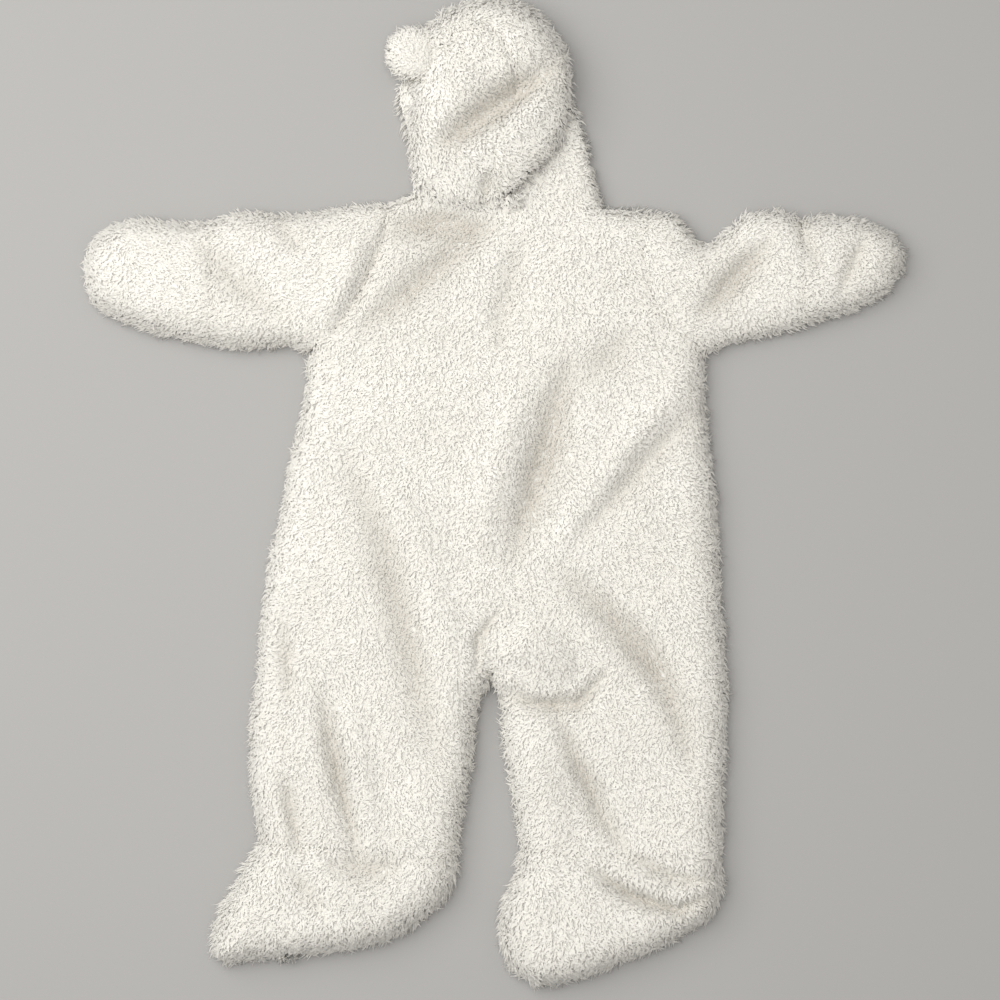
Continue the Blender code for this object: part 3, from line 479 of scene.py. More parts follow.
TUFT_PITCH = 1.5      # mean distance between two tufts on the side that shows, and underneath
UNDER_PITCH = 3.2
FACING_DOWN = -0.8    # cloth whose normal has less of +Z than this lies underneath
TUFT_LENGTH = 5.3
TUFT_PARTS = np.array([0.52, 0.48])   # lengths of a tuft's two bends, as shares
TUFT_LEANS = np.array([0.75, 1.25])   # how far each bend leans, as a share of the lean
TUFT_RADIUS = 0.92    # where the two bends meet
LEAN = 1.28           # mean angle from the normal, in radians, and the share of it at the sides
SIDE_LEAN = 0.6
SIDE_LONGER = 0.3     # how much longer the tufts are that make the outline, and how far they spread
SIDE_SPREAD = 0.7
CURL = 0.8            # how far a tuft turns sideways at each bend, in radians
LOCK = 4.5            # distance between the locks that tufts gather in
PAINTED_HOLLOW_SHADE = 0.72   # painted shade: how much darker the pile's colour is made in a crease or seam, and how deep the darkest one is
FULL_HOLLOW = 6.0
SOFTNESS = 0.95       # how far the shading's normals follow the cloth rather than the tuft


def tuft_roots(grid, normal, rng):
    """Evenly scattered points of a surface, with the normals given for the shading, the surface's
    own, and their tufts' pitch. Each cell holds its area over the pitch squared, rounded up or
    down by chance, at places picked by chance. Cells that face down take the wider pitch."""
    a, b, c, d = grid[:-1, :-1], grid[1:, :-1], grid[1:, 1:], grid[:-1, 1:]
    true = np.cross(c - a, d - b)
    area = np.linalg.norm(true, axis=-1) / 2
    true *= np.sign((true * normal[:-1, :-1]).sum())
    level = normal[:-1, :-1, 2]
    pitch = np.where(level < FACING_DOWN, UNDER_PITCH, TUFT_PITCH)
    count = np.floor(area / pitch ** 2 + rng.random(area.shape)).astype(int)
    i, j, spacing = (value.ravel().repeat(count.ravel()) for value in (*np.indices(area.shape), pitch))
    s, t = rng.random((2, len(i), 1))

    def blend(field):
        return ((1 - s) * (1 - t) * field[i, j] + s * (1 - t) * field[i + 1, j]
                + s * t * field[i + 1, j + 1] + (1 - s) * t * field[i, j + 1])

    out, own = unit(blend(normal)), unit(true[i, j])
    return blend(grid), out, np.where(area[i, j][:, None] > 0.01, own, out), spacing


def painted_shade_depth(x, y, folds, seams):
    """How deep in a crease or seam the plan points lie, from 0 to 1, which sets how much painted
    shade darkens and warms the pile's colour there."""
    deep = creases(x, y, folds) + GROOVE_DEPTH * np.exp(-edge_distance(x, y, seams) / GROOVE_WIDTH)
    return np.clip(deep / FULL_HOLLOW, 0, 1)


def pile(name, patches, nap, finish, seed, length=TUFT_LENGTH, swirl=0.6, relief=(FOLDS, SEAMS)):
    """The pile of a cloth piece: curled tufts that lean along the nap and gather in locks.

    A tuft is a three-sided spindle with two bends: a root, a ring of three and a tip. Bend k
    leaves the last one at the angle lean * TUFT_LEANS[k] from the normal, turned sideways by
    CURL * k. patches lists (knit, normals). The nap turns by soft noise, and painted shade darkens
    the pile's colour in the creases and seams of the relief, which is (folds, seams)."""
    rng = np.random.default_rng(seed)
    parts = [tuft_roots(*patch, rng) for patch in patches]
    root, out, true, spacing = (np.concatenate(part) for part in zip(*parts))
    n = len(root)

    warp = np.stack([waves(root, 9.0, seed + 10 + k) for k in range(3)], 1)
    cell = np.floor((root + 2.2 * warp) / LOCK).astype(int)
    _, lock = np.unique(cell, axis=0, return_inverse=True)
    lock = lock.reshape(-1)
    locks = lock.max() + 1
    sides = (1 - np.clip(true[:, 2] / 0.6, 0, 1)) * (true[:, 2] > FACING_DOWN)
    way = nap(root) if callable(nap) else np.broadcast_to(np.array(nap, float), (n, 2))
    turn = swirl * waves(root, 38.0, seed + 1) + 0.4 * waves(root, 13.0, seed + 2)
    turn += rng.normal(0, 0.32, locks)[lock] + rng.normal(0, 0.32, n)
    turn += np.arctan2(way[:, 1], way[:, 0])
    turn += SIDE_SPREAD * sides * rng.normal(size=locks)[lock]
    along = np.stack([np.cos(turn), np.sin(turn), 0 * turn], 1)
    along = unit(along - (along * true).sum(1, keepdims=True) * true)
    side = np.cross(true, along)

    lean = LEAN + rng.normal(0, 0.10, locks)[lock] + rng.normal(0, 0.10, n)
    lean *= 1 - (1 - SIDE_LEAN) * sides
    uneven = 0.12 + 0.14 * sides
    long = length * (1 + uneven * rng.normal(size=locks)[lock] + uneven * rng.normal(size=n))
    long = np.clip(long, 0.4 * length, 1.6 * length) * (1 + SIDE_LONGER * sides)
    curl = CURL * rng.normal(size=n)
    joints = [root]
    for k, (part, share) in enumerate(zip(TUFT_PARTS, TUFT_LEANS)):
        angle, sideways = np.clip(lean * share, 0.1, 1.5)[:, None], (curl * k)[:, None]
        across = np.cos(sideways) * along + np.sin(sideways) * side
        step = np.cos(angle) * true + np.sin(angle) * across
        joints.append(joints[-1] + (part * long)[:, None] * step)
    lowest = (0.0, 0.6, 0.1)
    joints = [np.stack([p[:, 0], p[:, 1], np.maximum(p[:, 2], z)], 1) for p, z in zip(joints, lowest)]

    wide = (spacing / TUFT_PITCH) ** 0.8 * (1 + 0.15 * rng.normal(size=n)) * (1 - 0.3 * sides)
    lit = unit(out + np.array([0, 0, 0.6]) * sides[:, None])
    angles = rng.uniform(0, 2 * np.pi, (n, 1)) + np.arange(3) * (2 * np.pi / 3)
    first = unit(np.cross(unit(joints[2] - joints[0]), out))
    second = unit(np.cross(unit(joints[2] - joints[0]), first))
    spoke = np.cos(angles)[..., None] * first[:, None] + np.sin(angles)[..., None] * second[:, None]
    belly = joints[1][:, None] + (TUFT_RADIUS * wide)[:, None, None] * spoke
    points = np.concatenate([joints[0][:, None], belly, joints[2][:, None]], 1)
    soft = (SOFTNESS - 0.3 * sides)[:, None]
    tip_out = unit(soft * lit + (1 - soft) * unit(joints[2] - joints[1]))
    normals = np.concatenate([lit[:, None], unit((soft * lit)[:, None] + (1 - soft)[:, None] * spoke),
                              tip_out[:, None]], 1)
    points[..., 2] = np.maximum(points[..., 2], 0.05)
    corners = np.array([(0, 2, 1), (0, 3, 2), (0, 1, 3), (4, 1, 2), (4, 2, 3), (4, 3, 1)])
    faces = (np.arange(n)[:, None, None] * 5 + corners).reshape(-1, 3)
    made = mesh_of(name, points.reshape(-1, 3), faces, finish)
    made.data.normals_split_custom_set_from_vertices(normals.reshape(-1, 3))

    # Each tuft's tone: random and broad variation, less painted shade in the creases and seams.
    shade = (0.82 + 0.035 * rng.normal(size=locks)[lock] + 0.035 * rng.normal(size=n)
             + 0.04 * waves(root, 60.0, seed + 3))
    painted_shade_share = painted_shade_depth(root[:, 0], root[:, 1], *relief) * (out[:, 2] > 0)
    shade = np.clip(shade - PAINTED_HOLLOW_SHADE * painted_shade_share, 0.04, 0.96)
    height = np.array([0.0, 0.5, 0.5, 0.5, 1.0])
    sideways = np.array([0.0, -0.006, 0.0, 0.006, 0.0])
    place = np.stack([shade[:, None] + sideways, np.broadcast_to(height, (n, 5))], -1)
    # The tuft attribute carries the tone with its painted shade, and the height along the tuft.
    made.data.attributes.new("tuft", "FLOAT_VECTOR", "POINT").data.foreach_set(
        "vector", np.concatenate([place, 0 * place[..., :1]], -1).astype(np.float32).ravel())
    uv = made.data.uv_layers.new(name="OFBake")
    uv.uv.foreach_set("vector", place.reshape(-1, 2)[faces.ravel()].astype(np.float32).ravel())
    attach(made, "suit")
    return made


def nodes_of(name):
    """A new material, its tree and its Principled shader."""
    made = bpy.data.materials.new(name)
    made.use_nodes = True
    tree = made.node_tree
    return made, tree, tree.nodes["Principled BSDF"]


def texture(tree, kind, scale):
    """A texture on the object's own coordinates."""
    place = tree.nodes.new("ShaderNodeTexCoord")
    made = tree.nodes.new(kind)
    made.inputs["Scale"].default_value = scale
    tree.links.new(place.outputs["Object"], made.inputs["Vector"])
    return made


def mixed(tree, low, high, factor):
    """The result of mixing two colours by the factor that another node gives."""
    mix = tree.nodes.new("ShaderNodeMix")
    mix.data_type = "RGBA"
    mix.inputs["A"].default_value = (*low, 1)
    mix.inputs["B"].default_value = (*high, 1)
    tree.links.new(factor, mix.inputs["Factor"])
    return mix.outputs["Result"]


def pile_finish(name, painted_root_shade, low, high):
    """Polyester fibre: ivory, with painted shade that makes it darker and warmer towards the root and,
    by the low colour, in creases and seams. The tuft's tone with its painted shade, across, and the
    height along it mix three colours."""
    made, tree, shader = nodes_of(name)
    tuft = tree.nodes.new("ShaderNodeAttribute")
    tuft.attribute_name = "tuft"
    split = tree.nodes.new("ShaderNodeSeparateXYZ")
    tree.links.new(tuft.outputs["Vector"], split.inputs[0])
    tip = mixed(tree, low, high, split.outputs["X"])
    height = tree.nodes.new("ShaderNodeMapRange")
    height.inputs["From Max"].default_value = 0.6
    tree.links.new(split.outputs["Y"], height.inputs["Value"])
    whole = tree.nodes.new("ShaderNodeMix")
    whole.data_type = "RGBA"
    whole.inputs["A"].default_value = (*painted_root_shade, 1)
    tree.links.new(height.outputs["Result"], whole.inputs["Factor"])
    tree.links.new(tip, whole.inputs["B"])
    tree.links.new(whole.outputs["Result"], shader.inputs["Base Color"])
    shader.inputs["Roughness"].default_value = 0.85
    shader.inputs["Specular IOR Level"].default_value = 0.25
    shader.inputs["Sheen Weight"].default_value = 0.25
    shader.inputs["Sheen Roughness"].default_value = 0.6
    return made


def ground_finish(name, colour):
    """The pile's dense ground: short fuzz between the tufts, as fine noise in tone and height."""
    made, tree, shader = nodes_of(name)
    fuzz = texture(tree, "ShaderNodeTexNoise", 700.0)
    fuzz.inputs["Detail"].default_value = 3.0
    tone = mixed(tree, [0.93 * value for value in colour], colour, fuzz.outputs["Fac"])
    tree.links.new(tone, shader.inputs["Base Color"])
    bump = tree.nodes.new("ShaderNodeBump")
    bump.inputs["Distance"].default_value = 0.0006
    tree.links.new(fuzz.outputs["Fac"], bump.inputs["Height"])
    tree.links.new(bump.outputs["Normal"], shader.inputs["Normal"])
    shader.inputs["Roughness"].default_value = 0.9
    return made


# Colours: painted shade at the root; the low colour, painted shade in creases and seams and the dark
# end of the random tone; the ivory of the tips.
FLEECE = pile_finish("teddy_pile_painted_shade", (0.94, 0.91, 0.84), (0.62, 0.575, 0.50), (0.98, 0.957, 0.89))
KNIT = ground_finish("teddy_ground", (0.96, 0.93, 0.86))

u = even_rows([row[:2] + row[6:] for row in BODY_ROWS], CELL)
crotch = int(np.searchsorted(u, CROTCH_ROW))
u[crotch] = CROTCH_ROW
left_plan = body_half(u, LEFT_OUT, LEFT_IN, TOP_REACH, CELL)
right_plan = body_half(u, RIGHT_OUT, RIGHT_IN, TOP_REACH, CELL)


def both_facing(left, right):
    """Normals of the two halves, worked out across the middle of the back where they are one."""
    left_out, right_out = facing(left, left.shape[1]), facing(right, right.shape[1])
    whole = np.concatenate([left[:crotch + 1, :-1], right[:crotch + 1, ::-1]], 1)
    trunk = facing(whole, whole.shape[1])
    left_out[:crotch + 1] = trunk[:, :left.shape[1]]
    right_out[:crotch + 1] = trunk[:, left.shape[1] - 1:][:, ::-1]
    return left_out, right_out


left, right = upper(*left_plan), upper(*right_plan)
left_out, right_out = both_facing(left, right)
plain_left, plain_right = both_facing(upper(*left_plan, 0), upper(*right_plan, 0))
left, right = sunk(left, plain_left), sunk(right, plain_right)

LEGS_FROM, LEGS_BLEND = -90, 60          # where the pile starts to follow each leg, and over what
BODY_MIDDLE, LEG_MIDDLES = 4, (-104, 84)  # the body's middle line, and each leg's from it
BODY_HALF, LEG_HALF = 150, 82             # half the width of the body, and of a leg
SIDEWAYS = 1.3                            # how far the pile turns outwards at the side seams


def fall(points):
    """The body's pile lies down it and away from its middle line, or from each leg's."""
    x, y = points[:, 0], points[:, 1]
    legs_share = np.clip((LEGS_FROM - y) / LEGS_BLEND, 0, 1)
    middle = BODY_MIDDLE + legs_share * np.where(x < 0, *LEG_MIDDLES)
    reach = BODY_HALF - (BODY_HALF - LEG_HALF) * legs_share
    outwards = np.clip((x - middle) / reach, -1, 1)
    return np.stack([SIDEWAYS * outwards * np.abs(outwards), 0 * x - 1], 1)


chest, seat, legs = slice(0, crotch // 2 + 1), slice(crotch // 2, crotch + 1), slice(crotch, None)
back_pile = [
    pile("pile_shoulders", [(left[chest], left_out[chest]), (right[chest], right_out[chest])],
         fall, FLEECE, 11),
    pile("pile_seat", [(left[seat], left_out[seat]), (right[seat], right_out[seat])],
         fall, FLEECE, 21),
    pile("pile_leg_left", [(left[legs], left_out[legs])], fall, FLEECE, 31),
    pile("pile_leg_right", [(right[legs], right_out[legs])], fall, FLEECE, 41),
]
back = backing("back_knit", "back_panel", [(left, left_out), (right, right_out)], KNIT)

# ---------------------------------------------------------------------------------------------
# Fronts. Two pieces that lie under the back, from the zip to the side seams, with the fronts of
# the legs. Each is turned in along the zip, and below it the two are sewn together.

ZIP_X = 3.0
ZIP_CHANNEL = 12.0    # between the two fronts' edges
ZIP_END_ROW = 11      # the row of the body that the zip ends at
ZIP_CLOSING = 0.2     # share of a row over which the two edges come together, over the tape's end
SEAM_GAP = 0.3

FRONTS = (
    # name | outer edge | inner edge | side | cut's width, length and area, in metres
    ("left", LEFT_OUT, LEFT_IN, -1, (0.171, 0.478), 0.0649),
    ("right", RIGHT_OUT, RIGHT_IN, 1, (0.168, 0.468), 0.0667),
)
for number, (name, outer, inner, side, flat, area) in enumerate(FRONTS):
    middle = body_rows(u)[:, inner][:, 0]
    open_edge = ZIP_X + side * ZIP_CHANNEL / 2 - middle
    closing = np.clip((u - ZIP_END_ROW + ZIP_CLOSING) / ZIP_CLOSING, 0, 1)
    gap = np.where(u <= CROTCH_ROW, open_edge + (side * SEAM_GAP / 2 - open_edge) * closing, 0)
    front = lower(*body_half(u, outer, inner, UNDER_REACH, CELL, gap), OUTLINES)
    front_out = facing(front, front.shape[1], up=False)
    front = sunk(front, front_out)
    front_pile = pile(f"pile_front_{name}", [(front, front_out)], fall, FLEECE, 51 + 10 * number)
    front_knit = backing(f"front_{name}_knit", f"front_{name}", [(front, front_out)], KNIT)

# ---------------------------------------------------------------------------------------------
# Sleeves, mitts and feet. Each sleeve is one piece sewn into a tube and set into its armhole. A
# mitt or foot is a top and a sole sewn round their edge and onto the sleeve or leg.

def around(table, closed, bent=None):
    """A limb's knit, upper cloth across and lower cloth back again, and its pile's normals. Its
    sections bend as the seam does that it starts at."""
    u = even_rows(table, CELL, closed)
    rows = smooth_rows(table, u)
    span = rows[:, 2:4] - rows[:, 0:2]
    width = np.hypot(*span.T)[:, None]
    q = np.linspace(0, 1, int(np.ceil(width.max() / CELL)) + 12)[None]
    s = places_across(width, TOP_REACH, q, True)
    x, y = rows[:, :1] + span[:, :1] * s, rows[:, 1:2] + span[:, 1:] * s
    if bent is not None:
        step = np.hypot(*np.diff(bent, axis=0).T)
        along = running(step) / step.sum()
        chord = bent[-1] - bent[0]
        x += rows[:, 4:5] * (np.interp(s, along, bent[:, 0]) - bent[0, 0] - chord[0] * s)
        y += rows[:, 4:5] * (np.interp(s, along, bent[:, 1]) - bent[0, 1] - chord[1] * s)
    below = lower(x, y, OUTLINES)[:, -2:0:-1]
    normals = []
    for share in (1, 0):
        loop = np.concatenate([upper(x, y, share), below], 1)
        out = facing(loop, x.shape[1], closed=True)
        if closed:
            level = out[-1, :x.shape[1]] * (1, 1, 0)
            level[1:-1] += out[-1, :x.shape[1] - 1:-1] * (1, 1, 0)
            level = unit(level)
            out[-1] = np.concatenate([level, level[-2:0:-1]])
        normals.append(out)
    return sunk(np.concatenate([upper(x, y), below], 1), normals[1]), normals[0]


def globe(height, angle):
    """Points of a ball of radius one, by the angles from its pole and around it."""
    return np.stack([np.sin(height) * np.cos(angle), np.sin(height) * np.sin(angle),
                     np.cos(height) + 0 * angle], -1)


def ring(grid):
    """The same grid with its first column once more at the end."""
    return np.concatenate([grid, grid[:, :1]], 1)


LIMBS = (
    # name | table | closed | armhole's edge | nap | length of the pile |
    # cut's width all round, its length and its area, in metres
    ("sleeve_left", SLEEVE_LEFT, False, LEFT_OUT, (-0.7, -0.7), 4.9, (0.242, 0.128), 0.0222),
    ("mitt_left", MITT_LEFT, True, None, (-0.9, -0.4), 5.1, (0.183, 0.100), 0.0147),
    ("sleeve_right", SLEEVE_RIGHT, False, RIGHT_OUT, (0.7, -0.7), 4.9, (0.224, 0.118), 0.0191),
    ("mitt_right", MITT_RIGHT, True, None, (0.9, -0.4), 5.1, (0.157, 0.081), 0.0094),
    ("foot_left", FOOT_LEFT, True, None, (-0.3, -1.0), 6.0, (0.317, 0.103), 0.0240),
    ("foot_right", FOOT_RIGHT, True, None, (0.1, -1.0), 6.0, (0.316, 0.104), 0.0252),
)
for number, (name, table, closed, edge, nap, length, flat, area) in enumerate(LIMBS):
    loop, out = around(table, closed, None if edge is None else armhole(edge))
    limb_pile = pile(f"pile_{name}", [(ring(loop), ring(out))], nap, FLEECE, 71 + 10 * number,
                     length)
    limb_knit = backing(f"{name}_knit", name, [(loop, out)], KNIT, closed=True)

# ---------------------------------------------------------------------------------------------
# Hood. Three pieces: two side panels, and a middle panel that runs over the head from the face
# to the nape. It has fallen on its right side, so the left panel and half of the middle one lie
# on top, and the right panel lies flat below them with a flap turned back at the nape.

HOOD_REACH = 27.0     # how far in from its edges the upper layer goes on rising
FLAP_REACH = 12.0     # the same for the flap
DOME_GROOVE = 3.0     # how many times as deep as the others the dome's seam is

# A row for each line across the upper layer, from the ear round the crown to the nape.
# edge x, y | seam x, y | outline x, y | under it, how far in, and at what height
HOOD_ROWS = (
    (-51, 309, -45, 316, -50, 331, 3, 6.0),
    (-53, 304, -34, 324, -39, 341, 3, 6.0),
    (-55, 297, -25, 333, -25, 349, 3, 6.0),
    (-57, 290, -15, 338, -8, 354, 3, 6.0),
    (-58, 283, -5, 335, 12, 353, 3, 6.0),
    (-59, 275, 3, 326, 30, 344, 3, 6.0),
    (-60, 266, 10, 314, 43, 328, 3, 6.0),
    (-60, 257, 15, 304, 51, 311, 4, 10),
    (-60, 248, 16, 293, 54, 295, 5, 14),
    (-59, 240, 14, 283, 53, 276, 7, 17.5),
    (-58, 231, 11, 271, 48, 259, 8, 18),
    (-57, 221, 6, 261, 40, 245, 8, 18.5),
    (-44, 215, 1, 250, 30, 234, 8, 19),
    (-27, 210, -2, 230, 17, 221, 7, 19.5),
    (-13, 208, -5, 209.5, 0, 208.5, 3, 15),
)
EDGE, SEAM, OUTLINE = slice(0, 2), slice(2, 4), slice(4, 6)
# Height of the upper layer's crown, and of its edge: x, y, height
HOOD_HEIGHTS = (
    (-20, 300, 45), (-42, 290, 37), (8, 300, 45), (34, 300, 41), (-30, 250, 38), (0, 330, 42),
    (-30, 325, 38), (4, 240, 38), (30, 262, 39), (-40, 225, 28), (-8, 218, 29),
)
HOOD_EDGE_HEIGHTS = (
    (-57, 219, 13), (-60, 250, 14), (-59, 275, 17), (-56, 295, 21), (-50, 314, 22), (-48, 332, 18),
    (0, 354, 18), (42, 330, 19), (54, 294, 20), (44, 250, 24), (20, 223, 26), (-4, 205, 19),
    (-32, 209, 19),
)
# The hood's creases, as in FOLDS: width, depth and line
HOOD_FOLDS = (
    (13, 9, ((-48, 243), (-30, 255), (-8, 270), (14, 286), (34, 299), (50, 310))),
    (9, -3, ((-26, 238), (2, 254), (26, 272), (38, 292))),
    (6, 3, ((-4, 232), (-6, 220), (-8, 208))),
)
# The lower layer, a row for each section from the neck to the crown.
# y | left end's x | right end's x | flap's width
HOOD_LOWER_ROWS = (
    (206, -54, 76, 80),
    (219, -57, 74, 74),
    (233, -58, 70, 60),
    (247, -61, 67, 46),
    (258, -64, 64, 34),
    (269, -67, 61, 26),
    (280, -70, 57, 19),
    (292, -71, 51, 12),
    (299, -68, 50, 12),
    (303, -52, 49, 12),
    (316, -47, 46, 12),
    (328, -44, 39, 12),
    (340, -36, 28, 12),
    (347, -24, 17, 12),
    (350.5, -13, 5, 12),
)
FLAP_ROWS = 7         # rows of the lower layer that have the flap
HEM_ROWS = 9.5        # rows of the lower layer whose edge is turned in at the face
HEM_WIDTH = 17.0      # how far in it goes, and how far up
HEM_HEIGHT = 6.0
FLAP_TOP = 15.5       # height of the flap's upper side, and at the neck
FLAP_TOP_AT_NECK = 17.2
HOOD_DEEPER = 1.35    # how much deeper the hood's creases lie than in the solid
NECK_EDGE_Y = 222     # the left panel's edge is sewn to the neckline below this, and free above
NECK_SEAM_END = [(8, 208), (18, 211)]  # where the neck seam runs on under the flap

across = smooth_rows(HOOD_ROWS, np.linspace(0, len(HOOD_ROWS) - 1, 12 * len(HOOD_ROWS)))
HOOD_OUTLINES = [across[:, EDGE], across[:, OUTLINE], across[-1][[0, 1, 4, 5]].reshape(2, 2)]
DOME_SEAM = across[:, SEAM]


def hood_top(x, y, share=1.0):
    """The hood's upper layer over the plan points, on the body's rule but with its own heights."""
    edge = spread(x, y, HOOD_EDGE_HEIGHTS)
    seam = DOME_GROOVE * GROOVE_DEPTH * np.exp(-edge_distance(x, y, [DOME_SEAM]) / GROOVE_WIDTH)
    crown = spread(x, y, HOOD_HEIGHTS) - share * (HOOD_DEEPER * creases(x, y, HOOD_FOLDS) + seam)
    up = rise(edge_distance(x, y, HOOD_OUTLINES), HOOD_REACH)
    return np.stack([x, y, edge + (crown - edge) * up], -1)


def between(start, end, s):
    """Plan grid from the points of one line to those of another."""
    return start[:, :1] + (end - start)[:, :1] * s, start[:, 1:] + (end - start)[:, 1:] * s


u = np.linspace(0, len(HOOD_ROWS) - 1, 96)
rows = smooth_rows(HOOD_ROWS, u)
edge, seam, outline = rows[:, EDGE], rows[:, SEAM], rows[:, OUTLINE]
width = np.hypot(*(seam - edge).T)[:, None]
q = np.linspace(0, 1, 44)[None]
side_plan = between(edge, seam, places_across(width, HOOD_REACH, q, False))
side = hood_top(*side_plan)
width = np.hypot(*(outline - seam).T)[:, None]
q = np.linspace(1, 0, 26)[None]
over_plan = between(seam, outline, 1 - places_across(width, HOOD_REACH, q, False))
over = hood_top(*over_plan)
turn = np.linspace(0, np.pi / 2, 9)[None, 1:]
inset, level = rows[:, 6:7] * (1 - np.cos(turn)), over[:, -1:, 2]
inwards = (seam - outline) / np.hypot(*(seam - outline).T)[:, None]
under = np.stack([outline[:, :1] + inwards[:, :1] * inset, outline[:, 1:] + inwards[:, 1:] * inset,
                  level - (level - rows[:, 7:8]) * np.sin(turn)], -1)
middle = np.concatenate([over, under], 1)
side_out, middle_out = facing(side, side.shape[1]), facing(middle, over.shape[1])
side = sunk(side, facing(hood_top(*side_plan, 0), side.shape[1]))
middle = sunk(middle, facing(np.concatenate([hood_top(*over_plan, 0), under], 1), over.shape[1]))


def sewn_down(x, y):
    """Knit points at the neck seam: on the back panel's own knit, a little past its edge."""
    past, below = 1.5, 0.4
    place = upper(x, y - past)
    place[..., 2] -= PILE_DEPTH + below
    return place


side[:, -1] = middle[:, 0] = (side[:, -1] + middle[:, 0]) / 2
at_neck = edge[:, 1] < NECK_EDGE_Y
side[at_neck, 0] = sewn_down(*side_plan)[at_neck, 0]
side[-1] = sewn_down(*side_plan)[-1]
middle[-1, :over.shape[1]] = sewn_down(*over_plan)[-1]
line = np.concatenate([np.stack(side_plan, -1)[at_neck, 0], np.stack(side_plan, -1)[-1, 1:],
                       np.stack(over_plan, -1)[-1, 1:], NECK_SEAM_END])
along = running(np.hypot(*np.diff(line, axis=0).T))
even = np.linspace(0, along[-1], 34)
line = np.stack([np.interp(even, along, line[:, 0]), np.interp(even, along, line[:, 1])], -1)
above, under_it = hood_top(line[:, 0] + 1, line[:, 1] + 5), upper(line[:, 0] - 1, line[:, 1] - 6)
s = np.linspace(0, 1, 8)[:, None, None]
neck_seam = above + (under_it - above) * s - (0, 0, PILE_DEPTH)
neck_seam_out = facing(neck_seam, neck_seam.shape[1])
# The hood's creases and dome seam, where painted shade darkens the pile of the hood and ears.
hood_painted_shade_lines = (HOOD_FOLDS, [DOME_SEAM])
side_pile = pile("pile_hood_side_left", [(side, side_out), (neck_seam, neck_seam_out)],
                 (0.4, -0.9), FLEECE, 131, 5.8, swirl=0.8, relief=hood_painted_shade_lines)
middle_pile = pile("pile_hood_middle", [(middle, middle_out)], (0.7, -0.7), FLEECE, 141, 6.0,
                   swirl=0.8, relief=hood_painted_shade_lines)
side_knit = backing("hood_side_left_knit", "hood_side_left", [(side, side_out)], KNIT)
middle_knit = backing("hood_middle_knit", "hood_middle", [(middle, middle_out)], KNIT)

u = np.linspace(0, len(HOOD_LOWER_ROWS) - 1, 62)
rows = smooth_rows(HOOD_LOWER_ROWS, u)
at_neck = np.maximum(0, 1 - u / 2)[:, None]
q = np.linspace(0, 1, 60)[None]
width = rows[:, 2:3] - rows[:, 1:2]
x = rows[:, 1:2] + width * places_across(width, UNDER_REACH, q, True)
y = rows[:, :1] + (neck_y(x) - rows[0, 0]) * at_neck
plan = np.stack([x, y], -1)
under = lower(x, y, [plan[:, 0], plan[:, -1], plan[-1]])
flap_rows = u <= FLAP_ROWS
wide, right_end = rows[flap_rows, 3:4], rows[flap_rows, 2:3]
s = places_across(wide, FLAP_REACH, np.linspace(0, 1, 34)[None], False)
x = right_end - wide * s
y = rows[flap_rows, :1] + (neck_y(x) - rows[0, 0]) * at_neck[flap_rows]
top = FLAP_TOP + (FLAP_TOP_AT_NECK - FLAP_TOP) * at_neck[flap_rows]
flap = np.stack([x, y, SIDE_SEAM_Z + (top - SIDE_SEAM_Z) * rise(wide * s, FLAP_REACH)], -1)
under_out, flap_out = facing(under, under.shape[1], up=False), facing(flap, flap.shape[1])
under, flap = sunk(under, under_out), sunk(flap, flap_out)
hem_rows = u <= HEM_ROWS
s = np.linspace(0, 1, 12)[None, :, None]
over_edge = np.concatenate([HEM_WIDTH * s, 0 * s, HEM_HEIGHT * np.sin(s * np.pi / 2)], -1)
hem = under[hem_rows, :1] + over_edge
hem_out = facing(hem, hem.shape[1])
lower_pile = pile("pile_hood_side_right", [(under, under_out), (flap, flap_out), (hem, hem_out)],
                  (0.6, -0.8), FLEECE, 151)
lower_knit = backing("hood_side_right_knit", "hood_side_right",
                     [(under, under_out), (flap, flap_out), (hem, hem_out)], KNIT)

# ---------------------------------------------------------------------------------------------
# Ears. Two small round ears of the same fleece, each sewn from two circles, turned, lightly
# stuffed and set into the dome's seam. Their pile stands out all round.

# name | centre x, y, z, half sizes x, y, z, where the base is cut | what the pile points away from
EARS = (
    ("ear_left", (-57, 314.5, 25.5, 20.5, 19.5, 10, -36), (-48, 302)),
    ("ear_right", (-60, 319, 5.6, 14, 14, 6.6, -49.2), (-48, 304)),
)
for number, (name, (cx, cy, cz, rx, ry, rz, cut), base) in enumerate(EARS):
    angle = np.linspace(0, 2 * np.pi, 42)[None, :-1]
    height = np.linspace(0.0005, np.pi - 0.0005, 27)[:, None]
    sphere = globe(height, angle)
    ball = sphere * (rx, ry, rz) + (cx, cy, cz)
    out = unit(sphere / (rx, ry, rz))
    ball[..., 0] = np.minimum(ball[..., 0], cut)
    ball[..., 2] = np.maximum(ball[..., 2], 0)
    ball = sunk(ball, out)

    def radial(points, base=base):
        return points[:, :2] - base

    ear_pile = pile(f"pile_{name}", [(ring(ball), ring(out))], radial, FLEECE, 161 + 10 * number,
                    4.6, swirl=0.3, relief=hood_painted_shade_lines)
    ear_knit = backing(f"{name}_knit", name, [(ball, out)], KNIT, closed=True)

# ---------------------------------------------------------------------------------------------
# Zip. Woven polyester tape with a moulded coil, sewn behind the fronts' turned-in edges, and a
# nickel-plated slider with its pull tab. The coil's two rows of teeth mesh all along it.

TOOTH_PITCH = 1.4                        # from one tooth to the next in a row
TOOTH_SIZE = np.array([1.0, 0.5, 0.35])  # half sizes across the zip, along it and downwards
TOOTH_ASIDE = 0.9                        # from the zip's middle to a tooth's
TOOTH_SUNK = 0.15                        # from the coil's lower face up to a tooth's middle
COIL_ENDS = (5.5, 3.5)                   # how far the teeth stop short of the tape's two ends
TEETH_RINGS, TEETH_AROUND = 3, 6

